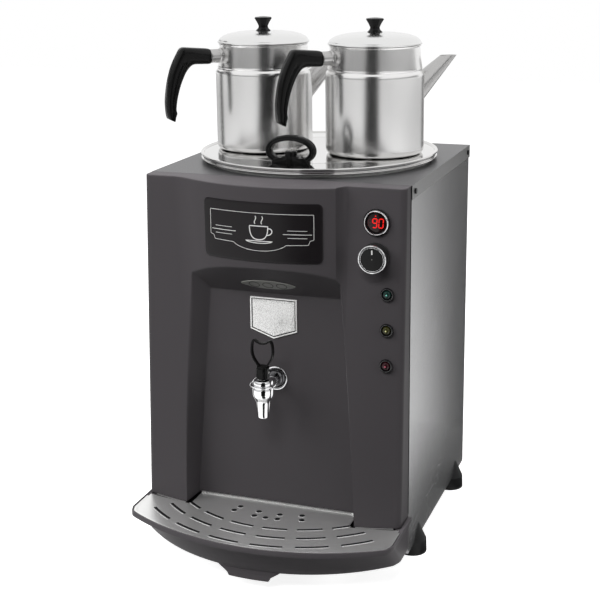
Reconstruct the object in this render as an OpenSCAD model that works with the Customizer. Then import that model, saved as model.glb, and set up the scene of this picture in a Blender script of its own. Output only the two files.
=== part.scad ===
// Tea urn with two teapots on its lid. Millimetres, +Z up, front towards -Y.

/* [Casing] */
// Width of the sheet body over the cover flanges
body_w = 380; // [376:1:400]
// Depth of the sheet body
body_d = 350; // [348:1:380]
// Height of the sheet body
body_h = 530; // [520:1:560]
// Ground clearance below the sheet body
ground_gap = 22; // [18:1:30]
// Thickness of the steel sheet
sheet_t = 1.2; // [0.8:0.1:1.6]
// Height of the top cover flanges
cover_flange = 19; // [15:1:26]
// Width of the folded panel edges
fold_w = 14; // [10:1:18]
// Height of the base plate's front flange
base_front_h = 56; // [40:1:58]
// Length of the tray rails in front of the base
rail_len = 80; // [60:1:100]
// Width of a tray rail
rail_w = 36; // [24:1:50]
// Distance of a tray rail from the casing's side
rail_in = 95; // [80:1:120]
// Distance of a foot's axis from the casing's side
foot_in = 10; // [8:1:18]
// Distance of the feet from the front and rear edges
foot_inset = 57; // [40:1:80]
// Radius of a foot at the floor
foot_r = 21; // [16:1:26]
// Height of the straight part of a foot
foot_wall_h = 19; // [12:1:24]
// Height of the cone of a foot
foot_cone_h = 24; // [16:1:30]
// Radius at the top of the foot cone
foot_top_r = 9.6; // [8:0.2:12]
// Length of the vent slots in the back panel
vent_l = 60; // [40:1:80]
// Width of the vent slots
vent_w = 5; // [3:0.5:8]
// Number of vent slots in a column
vent_n = 7; // [3:1:10]

/* [Front panel] */
// Drop of the panel's top below the sheet top
panel_drop = 4; // [2:0.5:10]
// Wall of the moulded parts
mould_t = 3; // [2:0.25:4]
// Depth of the side strips at the top
strip_top = 26; // [20:1:32]
// Depth of the side strips at the bottom
strip_low = 41; // [34:1:48]
// Crown of the panel at the bottom
panel_crown = 26; // [10:1:30]
// Radius of the panel's upright corners
panel_corner = 9; // [4:1:14]
// Distance of the bulge's creases from the casing's side
bulge_in = 92; // [86:1:100]
// Radius of the bulge
bulge_r = 250; // [220:5:320]
// Depth of the bulge in the middle
bulge_reach = 65; // [60:1:72]
// Width of the step beside the bulge
bulge_step = 10; // [6:1:14]
// Distance of the recess wall from the casing's side, bottom
pillar_low = 67; // [62:1:72]
// Distance of the recess wall from the casing's side, top
pillar_high = 91; // [84:1:98]
// Flare of the recess sides towards the front, bottom
flare_low = 8; // [4:1:12]
// Flare of the recess sides towards the front, top
flare_high = 27; // [14:1:32]
// Distance of the recess wall from the sheet front
recess_wall = 18; // [14:1:24]
// Height of the recess wall's top edge above the floor
recess_top = 394; // [380:1:400]
// Rise of the recess ceiling towards the front
ceiling_rise = 59; // [40:1:64]
// Height of the moulded seats under the controls
seat_h = 1.7; // [1.6:0.1:2.4]

/* [Controls] */
// Distance of knob and display from the casing's side
control_in = 40; // [34:1:46]
// Distance of the lamps from the casing's side
lamp_in = 24; // [20:1:30]
// Height of the display
display_z = 506; // [500:1:512]
// Height of the knob
knob_z = 461; // [452:1:464]
// Height of the middle lamp
lamp_z = 361; // [350:1:370]
// Spacing of the lamps
lamp_pitch = 49; // [30:1:55]
// Radius of the display bezel
display_r = 18.5; // [15:0.5:20]
// Radius of the display window
window_r = 13.5; // [10:0.5:14]
// Radius of the knob
knob_r = 19.5; // [16:0.5:22]
// Height of the knob
knob_h = 19; // [14:0.5:24]
// Radius of the thermostat spindle
spindle_r = 3; // [2:0.25:4]
// Radius of a lamp bezel
bezel_r = 9.3; // [7:0.1:11]
// Thickness of the bezels' rims
bezel_t = 3; // [2:0.25:4]
// Depth of a lamp's holder behind the panel's face
holder_d = 18; // [14:0.5:22]
// Depth of a lens in its holder
lens_d = 12; // [8:0.5:13]
// Height of a lens above the panel's face
lens_rise = 5; // [3.5:0.25:7]
// Radius of a lamp lens
lens_r = 5.5; // [4:0.1:6.5]
// Half width of the recess lamp lens
lamp_half_w = 41; // [30:1:50]
// Half height of the recess lamp lens
lamp_half_h = 9; // [6:0.5:11]
// Width of the nameplate
plate_w = 176; // [120:1:180]
// Height of the nameplate
plate_h = 88; // [50:1:92]
// Height of the nameplate's centre above the floor
plate_z = 490; // [484:1:496]
// Thickness of the nameplate
plate_t = 1.5; // [1:0.1:3]
// Corner radius of the nameplate
plate_corner = 9; // [4:1:14]
// Width of the shield plate
shield_w = 70; // [40:1:80]
// Height of the straight sides of the shield plate
shield_side = 47; // [30:1:55]
// Height of the shield's point
shield_tip = 12; // [6:1:20]
// Height of the shield's tip above the floor
shield_z = 331; // [325:1:334]
// Thickness of the shield plate
shield_t = 2; // [1:0.1:4]

/* [Drip tray] */
// Reach of the tray in front of the sheet body
tray_reach = 163; // [158:1:172]
// Overhang of the tray rim at each side of the casing
tray_over = 4; // [2:0.5:7]
// Radius of the tray rim's front
tray_r = 356; // [330:2:400]
// Height of the tray rim above the floor
tray_top = 82; // [80:1:86]
// Height of the rim band
rim_h = 10; // [8:0.5:12]
// Width of the rim
rim_w = 5; // [4:0.5:7]
// Radius of the rim corners
rim_corner = 9; // [5:1:12]
// Reach of the skirt at its top
skirt_reach = 152; // [146:1:155]
// Radius of the skirt at its top
skirt_r = 330; // [310:2:360]
// Reach of the skirt at its bottom
skirt_low_reach = 131; // [120:1:140]
// Radius of the skirt at its bottom
skirt_low_r = 265; // [250:1:290]
// Height of the skirt's lower edge above the floor
skirt_z = 30; // [28:1:33]
// Width of the pull tab at its foot
tab_w = 61; // [40:1:70]
// Widening of the pull tab at its top
tab_flare = 12; // [6:1:16]
// Height of the pull tab's lower edge
tab_z = 16; // [10:0.5:22]
// Drop of the grille below the rim
grille_drop = 2.5; // [1.5:0.25:4]
// Thickness of the grille
grille_t = 1.5; // [1:0.1:2]
// Radius of the outer row of slots
slot_r = 242; // [236:1:246]
// Spacing of the slot rows
slot_pitch = 26; // [22:1:28]
// Width of a slot
slot_w = 3.6; // [3:0.2:5]
// Angle from slot to slot
slot_step = 14.8; // [13:0.1:15]
// Angle that a slot covers
slot_span = 10.2; // [8:0.1:11]
// Radius of a drain hole
hole_r = 3.4; // [2.5:0.1:4]
// Height of the grille's rear lip
lip_h = 4; // [3:0.5:10]

/* [Tap] */
// Height of the tap's shank above the floor
tap_z = 270; // [264:1:276]
// Distance of the tap from the recess wall
tap_out = 50; // [44:1:56]
// Radius of the shank
shank_r = 8; // [7:0.25:9]
// Radius of the water way
way_r = 5; // [4:0.25:5.5]
// Radius of the tap's barrel
barrel_r = 14; // [13:0.25:16]
// Radius of the valve chamber
chamber_r = 9; // [8.5:0.25:10]
// Radius of the nozzle
nozzle_r = 7.6; // [6.5:0.1:8.5]
// Drop of the nozzle's mouth below the shank
nozzle_drop = 40; // [34:1:46]
// Height of the bonnet
bonnet_h = 12; // [11:0.5:16]
// Radius of the bonnet's ring
ring_r = 18; // [16:0.5:20]
// Radius of the wall flange
wall_flange_r = 17.5; // [15:0.5:20]
// Depth of the wall flange
wall_flange_d = 9; // [6:0.5:14]
// Radius of the valve stem
stem_r = 3; // [2.5:0.25:3.5]
// Radius of the handle's hub
hub_r = 9.5; // [8:0.25:10]
// Width of the handle's hub
hub_w = 18; // [14:0.5:20]
// Radius of the handle pin
pin_r = 1.5; // [1:0.1:2]
// Half width of the handle loop
loop_half = 17; // [14:0.5:20]
// Height of the handle loop above the hub
loop_h = 40; // [30:1:44]
// Thickness of the handle loop
loop_t = 3.2; // [2.5:0.1:4]
// Depth of the handle loop
loop_d = 9; // [6:0.5:12]
// Wire radius of the valve spring
wire_r = 0.7; // [0.5:0.1:0.9]
// Turns of the valve spring
spring_n = 4; // [3:1:5]

/* [Boiler] */
// Radius of the tank
tank_r = 158; // [150:1:160]
// Wall of the tank
tank_t = 1.5; // [1:0.1:2]
// Height of the tank's underside above the floor
tank_z = 232; // [226:1:238]
// Width of the tank's top flange
tank_flange = 9; // [7:0.5:10]
// Thickness of the insulation
jacket_t = 8; // [5:0.5:9]
// Height of the lid gasket
gasket_h = 3.5; // [2:0.25:4]
// Overhang of the lid around the tank
lid_over = 18; // [14:1:20]
// Radius of the lid's rolled rim
roll_r = 4; // [3:0.25:4.5]
// Depth of the lid's plug
plug_h = 22; // [14:1:30]
// Radius of the heating element's tube
tube_r = 4; // [3:0.25:5]
// Spacing of the heating element's runs
run_pitch = 32; // [24:1:40]
// Length of the heating element's runs
run_len = 130; // [90:1:150]
// Distance of the lid handle from the lid's middle
lid_handle_out = 121; // [112:1:128]
// Half width of the lid handle's bow
bow_half = 37; // [30:1:40]
// Height of the lid handle
bow_h = 40; // [36:1:52]
// Thickness of the lid handle's bow
bow_t = 8; // [6:0.5:10]
// Depth of the lid handle
bow_d = 15; // [10:0.5:20]
// Half width of the lid handle's base at its foot
bow_foot = 27.4; // [22:0.2:32]
// Draw-in of the base over its height
bow_taper = 4.4; // [2:0.2:8]
// Height of the lid handle's base
bow_base_h = 9; // [7:0.5:12]
// Radius of the lid handle's boss
boss_r = 8.5; // [7:0.25:11]
// Height of the lid handle's boss
boss_h = 17; // [15:0.5:20]

/* [Teapots] */
// Distance of a teapot from the middle
pot_x = 86; // [82:1:90]
// Turn of the teapots, handle forward of straight left
pot_turn = 42; // [30:1:50]
// Radius of a teapot's body
pot_r = 71.7; // [66:0.1:74]
// Height of a teapot's body up to its bead
pot_body_h = 122; // [110:1:130]
// Height of a teapot's neck above the bead
neck_h = 35; // [33:1:44]
// Radius of the neck at its foot
neck_low_r = 68.3; // [64:0.1:70]
// Radius of the neck at its rim
neck_r = 65; // [60:0.1:67]
// Wall of a teapot
pot_t = 1.4; // [1:0.1:2]
// Fillet at the foot of a teapot
pot_fillet = 9; // [5:0.5:14]
// Radius of a teapot's lid
pot_lid_r = 68.2; // [66.5:0.1:72]
// Rise of a teapot lid's dome
dome_h = 15; // [10:0.5:20]
// Height of a lid knob
pot_knob_h = 24; // [18:0.5:28]
// Radius of a lid knob at its top
pot_knob_r = 12.9; // [10:0.1:15]
// Radius of the spout at its root
spout_root_r = 17; // [14:0.5:20]
// Radius of the spout at its tip
spout_tip_r = 8.4; // [7:0.1:10]
// Reach of the spout's tip from the teapot's axis
spout_reach = 122; // [110:1:128]
// Height of the spout's mouth
spout_h = 136; // [126:1:142]
// Height of the spout's root
spout_root_h = 92; // [84:1:98]
// Radius of the handle's ferrule
ferrule_r = 10; // [8:0.25:11]
// Height of the handle's stub
grip_z = 140; // [138:1:142]
// Thickness of the handle's stub
stub_t = 23; // [21:0.5:26]
// Distance of the stub's end from the teapot's axis
stub_start = 84; // [80:1:88]
// Reach of the handle from the teapot's axis
grip_reach = 155; // [148:1:160]
// Height of the handle's lower end
grip_low = 48; // [40:1:60]
// Width of the handle
grip_w = 21; // [16:0.5:24]

/* [Rear] */
// Reach of the cable gland behind the casing
gland_out = 18; // [12:1:24]
// Radius of the gland's cable hole
cable_r = 4.5; // [3:0.25:6]
// Radius of the gland's body
gland_r = 11; // [9:0.5:14]
// Distance of the gland from the casing's side
gland_in = 80; // [50:1:110]
// Height of the gland above the floor
gland_z = 66; // [56:1:90]

/* [Fits] */
// Gap between a cover flange and the panel inside it
cover_gap = 0.2; // [0.1:0.05:0.5]
// Gap between pieces that lie on each other and lift
rest_gap = 0.1; // [0.05:0.05:0.3]
// Gap around the grille and under the pillars
loose_gap = 0.8; // [0.5:0.1:1.5]
// Radial gap of a turning or sliding fit
run_gap = 0.05; // [0.02:0.01:0.1]
// Gap of a screw or shank in its hole
hole_gap = 0.3; // [0.2:0.05:0.6]
// Travel of the grille's lift that the recess must clear
grille_lift = 40; // [20:1:50]

/* [Hidden] */
$fn = 64;
eps = 0.01;
// Reach of cuts past the faces that they open
cut_over = 20;

// Places along Y: the whole depth is centred on the origin
total_d = tray_reach + body_d + gland_out;
yb = tray_reach - total_d / 2;
y_back = yb + body_d;
yr = y_back - sheet_t - cover_gap;
yl = yb + body_d / 2;
// Places along Z
z_low = ground_gap;
z_top = z_low + body_h;
panel_z = tray_top + loose_gap;
panel_top = z_top - panel_drop;
panel_h = panel_top - panel_z;
// Places along X, all measured from the casing's sides
panel_x = body_w / 2 - sheet_t - cover_gap;
rail_x = body_w / 2 - rail_in;
foot_x = body_w / 2 - foot_in;
bulge_half = body_w / 2 - bulge_in;
recess_low = body_w / 2 - pillar_low;
recess_high = body_w / 2 - pillar_high;
control_x = body_w / 2 - control_in;
lamp_x = body_w / 2 - lamp_in;
gland_x = body_w / 2 - gland_in;
tray_w = body_w + 2 * tray_over;
skirt_w = body_w;
base_x = panel_x - sheet_t - rest_gap;
// Bulge and recess
bulge_edge = bulge_reach - (bulge_r - sqrt(bulge_r * bulge_r - bulge_half * bulge_half));
recess_y = yb - recess_wall;
ceiling_run = bulge_reach - recess_wall + 15;
// Tap
tap_y = recess_y - tap_out;
seat_z = tap_z - 14;
bonnet_z = tap_z + 3;
bonnet_top = bonnet_z + bonnet_h;
pivot_z = bonnet_top + loose_gap + hub_r;
tank_front = yl - tank_r;
shank_end = tank_front + 16;
shank_way_r = way_r - 0.8;
shank_way_drop = 2.8;
// Boiler and lid
lid_r = tank_r + lid_over;
gasket_z = z_top + tank_t;
lid_seat_z = gasket_z + gasket_h + rest_gap;
lid_z = z_top + 12;
lid_t = 1.2;
plug_r = tank_r - tank_t - 5;
gasket_in = tank_r + 1;
gasket_out = tank_r + tank_flange - 1;
// Teapots
pot_z = lid_z + rest_gap;
rim_z = pot_body_h + neck_h;
// Screws
screw_r = 2;
screw_head_r = 3.8;
screw_head_h = 2.2;

// Share of the panel's height at z, 0 at its foot and 1 at its top
function up(z) = (z - panel_z) / panel_h;
// Depth of the panel's side strips at height z
function strip(z) = strip_low + (strip_top - strip_low) * up(z);
// Front of the panel beside the bulge
function face_y(x, z) =
    yb - strip(z) - panel_crown * (1 - up(z)) * (1 - pow(x / panel_x, 2));
// Points of a circle's arc
function arc(cx, cy, r, from, to, n) =
    [for (i = [0:n]) [cx + r * cos(from + (to - from) * i / n), cy + r * sin(from + (to - from) * i / n)]];
// Points of a cubic curve with two guide points
function curve(a, b, c, d, n) =
    [for (i = [0:n]) let (t = i / n, s = 1 - t)
        s * s * s * a + 3 * s * s * t * b + 3 * s * t * t * c + t * t * t * d];

// Round bar from point a to point b
module bar(a, b, r) {
    d = b - a;
    translate(a)
        rotate([0, acos(d[2] / norm(d)), atan2(d[1], d[0])])
            cylinder(h = norm(d), r = r);
}

// Round bar from point to point with rounded bends
module pipe_run(points, r) {
    for (i = [0:len(points) - 2])
        bar(points[i], points[i + 1], r);
    for (i = [1:len(points) - 2])
        translate(points[i])
            sphere(r = r);
}

// Cylinder along Y from y0 to y1
module along_y(x, y0, y1, z, r) {
    translate([x, y0, z])
        rotate([-90, 0, 0])
            cylinder(h = y1 - y0, r = r);
}

// Cylinder along X, centred
module across_x(y, z, w, r) {
    translate([-w / 2, y, z])
        rotate([0, 90, 0])
            cylinder(h = w, r = r);
}

module ring(r_out, r_in, h) {
    difference() {
        cylinder(h = h, r = r_out);
        translate([0, 0, -1])
            cylinder(h = h + 2, r = r_in);
    }
}

module round_plate(w, h, r) {
    square([w - 2 * r, h], center = true);
    square([w, h - 2 * r], center = true);
    for (sx = [-1, 1], sy = [-1, 1])
        translate([sx * (w / 2 - r), sy * (h / 2 - r)])
            circle(r);
}

// Pan head screw whose head lies on the plane z = 0 and whose shank points down
module screw(l) {
    cylinder(h = screw_head_h, r = screw_head_r);
    translate([0, 0, -l])
        cylinder(h = l + eps, r = screw_r);
}

// Screws of the cover flanges: distances from the sheet's front edge
flange_screw_y = [14, body_d - 16];
// Screws of the back panel: heights
back_screw_z = [z_low + 40, z_low + body_h / 2, z_top - 60];

module at_flange_screws(side) {
    for (y = flange_screw_y)
        translate([side * body_w / 2, yb + y, z_top - cover_flange / 2])
            rotate([0, side * 90, 0])
                children();
}

module at_back_screws() {
    for (side = [-1, 1], z = back_screw_z)
        translate([side * (panel_x - fold_w / 2), yr, z])
            rotate([-90, 0, 0])
                children();
}

module at_feet() {
    for (left = [0, 1], y = [foot_inset, body_d - foot_inset])
        mirror([left, 0, 0])
            translate([foot_x, yb + y, 0])
                children();
}

module base_plate() {
    rail_h = skirt_z - rest_gap - z_low;
    color("silver")
        difference() {
            union() {
                translate([-base_x, yb + sheet_t, z_low])
                    cube([2 * base_x, yr - 2 * sheet_t - yb - sheet_t, sheet_t]);
                translate([-base_x, yb + sheet_t, z_low])
                    cube([2 * base_x, sheet_t, base_front_h]);
                for (side = [-1, 1])
                    translate([side * (base_x - sheet_t / 2) - sheet_t / 2, yb + sheet_t, z_low])
                        cube([sheet_t, yr - 2 * sheet_t - yb - sheet_t, fold_w]);
                for (side = [-1, 1])
                    translate([side * rail_x - rail_w / 2, yb - rail_len, z_low])
                        difference() {
                            cube([rail_w, rail_len + 2 * sheet_t, rail_h]);
                            translate([2 * sheet_t, -1, -1])
                                cube([rail_w - 4 * sheet_t, rail_len, rail_h - 2 * sheet_t + 1]);
                        }
            }
            at_feet()
                translate([0, 0, z_low - 1])
                    cylinder(h = sheet_t + 2, r = screw_r + hole_gap);
        }
}

module side_panel(side) {
    color("gray")
        difference() {
            union() {
                translate([side * (panel_x - sheet_t / 2) - sheet_t / 2, yb, z_low])
                    cube([sheet_t, yr - sheet_t - yb, body_h - sheet_t]);
                for (y = [yb, yr - 2 * sheet_t])
                    translate([side * (panel_x - fold_w / 2) - fold_w / 2, y, z_low])
                        cube([fold_w, sheet_t, body_h - sheet_t]);
            }
            at_flange_screws(side)
                translate([0, 0, -10])
                    cylinder(h = 20, r = screw_r + hole_gap);
            at_back_screws()
                translate([0, 0, -10])
                    cylinder(h = 20, r = screw_r + hole_gap);
        }
}

module back_panel() {
    color("gray")
        difference() {
            translate([-panel_x, yr - sheet_t, z_low])
                cube([2 * panel_x, sheet_t, body_h - sheet_t]);
            at_back_screws()
                translate([0, 0, -10])
                    cylinder(h = 20, r = screw_r + hole_gap);
            for (side = [-1, 1], i = [0:vent_n - 1])
                translate([side * vent_l, yr - 10, z_low + body_h / 4 + i * 3 * vent_w])
                    rotate([-90, 0, 0])
                        linear_extrude(20)
                            round_plate(vent_l, vent_w, vent_w / 2 - eps);
            along_y(gland_x, yr - 10, yr + 10, gland_z, gland_r * 0.7 + hole_gap);
        }
}

module top_cover() {
    color("dimgray")
        difference() {
            union() {
                translate([-body_w / 2, yb, z_top - sheet_t])
                    cube([body_w, body_d, sheet_t]);
                for (side = [-1, 1])
                    translate([side * (body_w - sheet_t) / 2 - sheet_t / 2, yb, z_top - cover_flange])
                        cube([sheet_t, body_d, cover_flange]);
                translate([-body_w / 2, y_back - sheet_t, z_top - cover_flange])
                    cube([body_w, sheet_t, cover_flange]);
            }
            translate([0, yl, z_top - 20])
                cylinder(h = 40, r = tank_r + hole_gap);
            for (side = [-1, 1])
                at_flange_screws(side)
                    translate([0, 0, -10])
                        cylinder(h = 20, r = screw_r + hole_gap);
        }
}

module casing_screws() {
    color("black") {
        for (side = [-1, 1])
            at_flange_screws(side)
                screw(8);
        at_back_screws()
            screw(7);
    }
}

// Front of a plan of the panel, bowed by its crown
function bowed(half_w, c, edge, crown) =
    [for (i = [-6:6]) let (x = (half_w - c) * i / 6) [x, -edge - crown * (1 - pow(x / half_w, 2))]];
// Plan of the panel at one height: width, depth of the strips and crown in the middle
function panel_plan(half_w, edge, crown, back) =
    let (c = panel_corner, front = bowed(half_w, c, edge, crown), y_corner = front[0][1] + c)
    concat([[-half_w, back]], arc(-half_w + c, y_corner, c, 180, 255, 4), front,
        arc(half_w - c, y_corner, c, 285, 360, 4), [[half_w, back]]);

// Outer block of the panel, or the hollow inside it: plans that change evenly from foot to top
module panel_block(inset, back) {
    rows = 6;
    plans = [for (k = [0:rows]) panel_plan(panel_x - inset,
        strip_low + (strip_top - strip_low) * k / rows - inset, panel_crown * (1 - k / rows), back)];
    n = len(plans[0]);
    z0 = panel_z + inset;
    points = [for (k = [0:rows], p = plans[k]) [p[0], p[1], z0 + (panel_top - inset - z0) * k / rows]];
    skin = [for (k = [0:rows - 1], j = [0:n - 1], half = [0, 1])
        let (a = k * n + j, b = k * n + (j + 1) % n)
        half == 0 ? [a, a + n, b + n] : [a, b + n, b]];
    foot = [for (j = [1:n - 2]) [0, j, j + 1]];
    top = [for (j = [1:n - 2]) [rows * n, rows * n + j + 1, rows * n + j]];
    translate([0, yb, 0])
        polyhedron(points, concat(skin, foot, top));
}

// Bulged head above the recess
module bulge_plan(inset) {
    side = bulge_step / (bulge_edge - strip_top);
    reach = bulge_reach + 10;
    intersection() {
        translate([0, bulge_r - bulge_reach])
            circle(r = bulge_r - inset, $fn = 180);
        polygon([[-bulge_half - bulge_edge * side + inset, 0],
            [-bulge_half + (reach - bulge_edge) * side + inset, -reach],
            [bulge_half - (reach - bulge_edge) * side - inset, -reach],
            [bulge_half + bulge_edge * side - inset, 0]]);
    }
}

module bulge(inset) {
    translate([0, yb, recess_top + inset])
        linear_extrude(panel_top - 2 * inset - recess_top)
            bulge_plan(inset);
}

// Space of the recess, grown by the wall for its outside
module recess_space(grow) {
    far = recess_wall + ceiling_run;
    z0 = panel_z - 1;
    hull() {
        translate([0, recess_y + grow, 0])
            rotate([90, 0, 0])
                linear_extrude(eps)
                    polygon([[-recess_low - grow, z0], [recess_low + grow, z0],
                        [recess_high + grow, recess_top + grow], [-recess_high - grow, recess_top + grow]]);
        translate([0, yb - far, 0])
            rotate([90, 0, 0])
                linear_extrude(eps)
                    polygon([[-recess_low - flare_low - grow, z0], [recess_low + flare_low + grow, z0],
                        [recess_high + flare_high + grow, recess_top + ceiling_rise + grow],
                        [-recess_high - flare_high - grow, recess_top + ceiling_rise + grow]]);
    }
}

// Turns a shape drawn around the origin onto the middle of the recess ceiling, its front down
module on_ceiling() {
    a = atan2(ceiling_rise, ceiling_run);
    mid = lamp_half_h + 6;
    translate([0, recess_y - mid * cos(a), recess_top + mid * sin(a)])
        rotate([180 - a, 0, 0])
            children();
}

module oval(grow) {
    w = lamp_half_w + grow;
    h = lamp_half_h + grow;
    linear_extrude(mould_t * 4, center = true)
        round_plate(2 * w, 2 * h, h - eps);
}

// Places of the three lamps
module at_lamps() {
    for (i = [-1, 0, 1])
        at_lamp(i)
            children();
}

module at_lamp(i) {
    z = lamp_z + i * lamp_pitch;
    on_face(lamp_x, z)
        children();
}

// Frame on a moulded seat: +Z out of the panel
module on_face(x, z) {
    translate([x, face_y(x, z) - seat_h, z])
        rotate([90, 0, 0])
            children();
}

module seat(x, z, r) {
    on_face(x, z)
        translate([0, 0, -mould_t - seat_h])
            cylinder(h = mould_t + seat_h, r = r);
}

lamp_stem_r = lens_r + 1.4;
display_stem_r = window_r + 2;
display_d = 12;
spindle_hole = spindle_r + 2;

module front_panel() {
    color("dimgray")
        difference() {
            union() {
                difference() {
                    union() {
                        panel_block(0, 0);
                        bulge(0);
                    }
                    panel_block(mould_t, 5);
                    bulge(mould_t);
                }
                intersection() {
                    recess_space(mould_t);
                    union() {
                        panel_block(0, 0);
                        bulge(0);
                    }
                }
                seat(control_x, display_z, display_r + 1);
                seat(control_x, knob_z, knob_r + 1);
                for (i = [-1, 0, 1])
                    seat(lamp_x, lamp_z + i * lamp_pitch, bezel_r + 1);
            }
            recess_space(0);
            on_face(control_x, display_z)
                translate([0, 0, -20])
                    cylinder(h = 30, r = display_stem_r + hole_gap);
            on_face(control_x, knob_z)
                translate([0, 0, -20])
                    cylinder(h = 30, r = spindle_hole);
            at_lamps()
                translate([0, 0, -20])
                    cylinder(h = 30, r = lamp_stem_r + hole_gap);
            along_y(0, recess_y - 5, recess_y + 10, tap_z, shank_r + hole_gap);
            on_ceiling()
                oval(0);
        }
}

module nameplate() {
    color("black")
        translate([0, yb, plate_z])
            intersection() {
                translate([0, bulge_r - bulge_reach, -plate_h])
                    ring(bulge_r + plate_t, bulge_r + run_gap, 2 * plate_h, $fn = 180);
                rotate([90, 0, 0])
                    linear_extrude(2 * bulge_reach)
                        round_plate(plate_w, plate_h, plate_corner);
            }
}

module shield_plate() {
    w = shield_w / 2;
    top = shield_tip + shield_side;
    color("silver")
        translate([0, recess_y, shield_z])
            rotate([90, 0, 0])
                linear_extrude(shield_t)
                    polygon([[0, 0], [w, shield_tip], [w, top], [-w, top], [-w, shield_tip]]);
}

module display_bezel() {
    color("silver")
        on_face(control_x, display_z)
            difference() {
                union() {
                    cylinder(h = bezel_t, r = display_r);
                    translate([0, 0, -display_d])
                        cylinder(h = display_d + eps, r = display_stem_r);
                }
                translate([0, 0, -20])
                    cylinder(h = 30, r = window_r);
            }
}

module display_window() {
    color("darkred")
        on_face(control_x, display_z)
            cylinder(h = bezel_t - 1, r = window_r - rest_gap);
}

module display_module() {
    color("black")
        on_face(control_x, display_z)
            union() {
                translate([0, 0, -14])
                    cylinder(h = 14, r = window_r - rest_gap);
                translate([-20, -13, -20])
                    cube([40, 26, 6]);
            }
}

module lamp_bezels() {
    color("black")
        at_lamps()
            difference() {
                union() {
                    cylinder(h = bezel_t, r = bezel_r);
                    translate([0, 0, -holder_d])
                        cylinder(h = holder_d + eps, r = lamp_stem_r);
                }
                translate([0, 0, -lens_d])
                    cylinder(h = 2 * holder_d, r = lens_r + rest_gap);
            }
}

module lamp_lens(i) {
    at_lamp(i)
        rotate_extrude()
            polygon(concat([[0, -lens_d], [lens_r, -lens_d]],
                curve([lens_r, lens_rise - 4], [lens_r, lens_rise - 1], [lens_r / 2, lens_rise],
                    [0, lens_rise], 6)));
}

module green_lamp() {
    color("green")
        lamp_lens(1);
}

module amber_lamp() {
    color("gold")
        lamp_lens(0);
}

module red_lamp() {
    color("red")
        lamp_lens(-1);
}

module recess_lamp_lens() {
    color("lightgray")
        on_ceiling()
            translate([0, 0, -mould_t / 2])
                linear_extrude(mould_t - 0.6)
                    round_plate(2 * (lamp_half_w - rest_gap), 2 * (lamp_half_h - rest_gap),
                        lamp_half_h - rest_gap - eps);
}

module recess_lamp_board() {
    color("darkgreen")
        on_ceiling() {
            translate([0, 0, -mould_t / 2 - 1.6])
                linear_extrude(1.6)
                    round_plate(2 * (lamp_half_w - 4), 2 * (lamp_half_h - 2), 2);
        }
}

module feet() {
    color("black")
        at_feet()
            difference() {
                union() {
                    cylinder(h = foot_wall_h, r1 = foot_r, r2 = foot_r - 0.6);
                    translate([0, 0, foot_wall_h - eps])
                        cylinder(h = foot_cone_h, r1 = foot_r - 0.6, r2 = foot_top_r);
                }
                foot_cut();
                translate([0, 0, -1])
                    cylinder(h = 100, r = screw_r + hole_gap);
                translate([0, 0, -1])
                    cylinder(h = 7, r = screw_head_r + hole_gap);
            }
}

// Room for the sheet body above a foot of the right side
module foot_cut() {
    room = 3 * foot_r;
    translate([panel_x - foot_x + rest_gap - 2 * room, -room, z_low])
        cube([2 * room, 2 * room, 2 * room]);
}

module foot_screws() {
    color("silver")
        at_feet()
            translate([0, 0, 6])
                rotate([180, 0, 0])
                    screw(z_low + sheet_t - 6 + 3);
}

module boiler_tank() {
    color("silver")
        difference() {
            union() {
                translate([0, yl, tank_z])
                    cylinder(h = gasket_z - tank_z, r = tank_r, $fn = 120);
                translate([0, yl, z_top])
                    cylinder(h = tank_t, r = tank_r + tank_flange, $fn = 120);
            }
            translate([0, yl, tank_z + tank_t])
                cylinder(h = 2 * body_h, r = tank_r - tank_t, $fn = 120);
            along_y(0, tank_front - 10, tank_front + 20, tap_z, shank_r + hole_gap);
            for (x = [-1, 1])
                translate([element_end(x)[0], element_end(x)[1], tank_z - 5])
                    cylinder(h = 15, r = tube_r + hole_gap);
        }
}

module boiler_jacket() {
    color("khaki")
        difference() {
            translate([0, yl, tank_z + 12])
                ring(tank_r + rest_gap + jacket_t, tank_r + rest_gap, z_top - cover_flange - tank_z - 12);
            along_y(0, yb - 5, yl, tap_z, shank_r + 4);
        }
}

stand_r = 120;

module boiler_stand() {
    z0 = z_low + sheet_t;
    color("silver") {
        translate([0, yl, tank_z - 3])
            ring(stand_r + 15, stand_r - 15, 3);
        for (a = [45:90:315])
            translate([0, yl, 0])
                rotate([0, 0, a])
                    translate([stand_r - 2, -18, z0])
                        cube([4, 36, tank_z - z0 - 2]);
    }
}

// Number of the element's runs, the height of its loops and the drop of its legs
run_n = 4;
leg_drop = 24;
element_z = tank_z + 16;
function run_y(i) = yl + (i - (run_n - 1) / 2) * run_pitch;
function element_end(side) = [-run_len / 2, run_y(side < 0 ? 0 : run_n - 1)];

module heating_element() {
    color("gray") {
        for (i = [0:run_n - 1])
            bar([-run_len / 2, run_y(i), element_z], [run_len / 2, run_y(i), element_z], tube_r);
        for (i = [0:run_n - 2])
            translate([(i % 2 == 0 ? 1 : -1) * run_len / 2, run_y(i + 0.5), element_z])
                rotate([0, 0, i % 2 == 0 ? -90 : 90])
                    rotate_extrude(angle = 180)
                        translate([run_pitch / 2, 0])
                            circle(tube_r, $fn = 32);
        for (side = [-1, 1])
            translate([element_end(side)[0], element_end(side)[1], tank_z - leg_drop])
                element_leg();
    }
}

// Lower end of the element: tube, inner collar and outer nut
module element_leg() {
    collar_r = tube_r + 5;
    nut_h = 6;
    cylinder(h = element_z - tank_z + leg_drop, r = tube_r);
    translate([0, 0, element_z - tank_z + leg_drop])
        sphere(r = tube_r);
    translate([0, 0, leg_drop + tank_t + rest_gap])
        cylinder(h = nut_h - 2, r = collar_r);
    translate([0, 0, leg_drop - nut_h - rest_gap])
        cylinder(h = nut_h, r = collar_r, $fn = 6);
}

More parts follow.
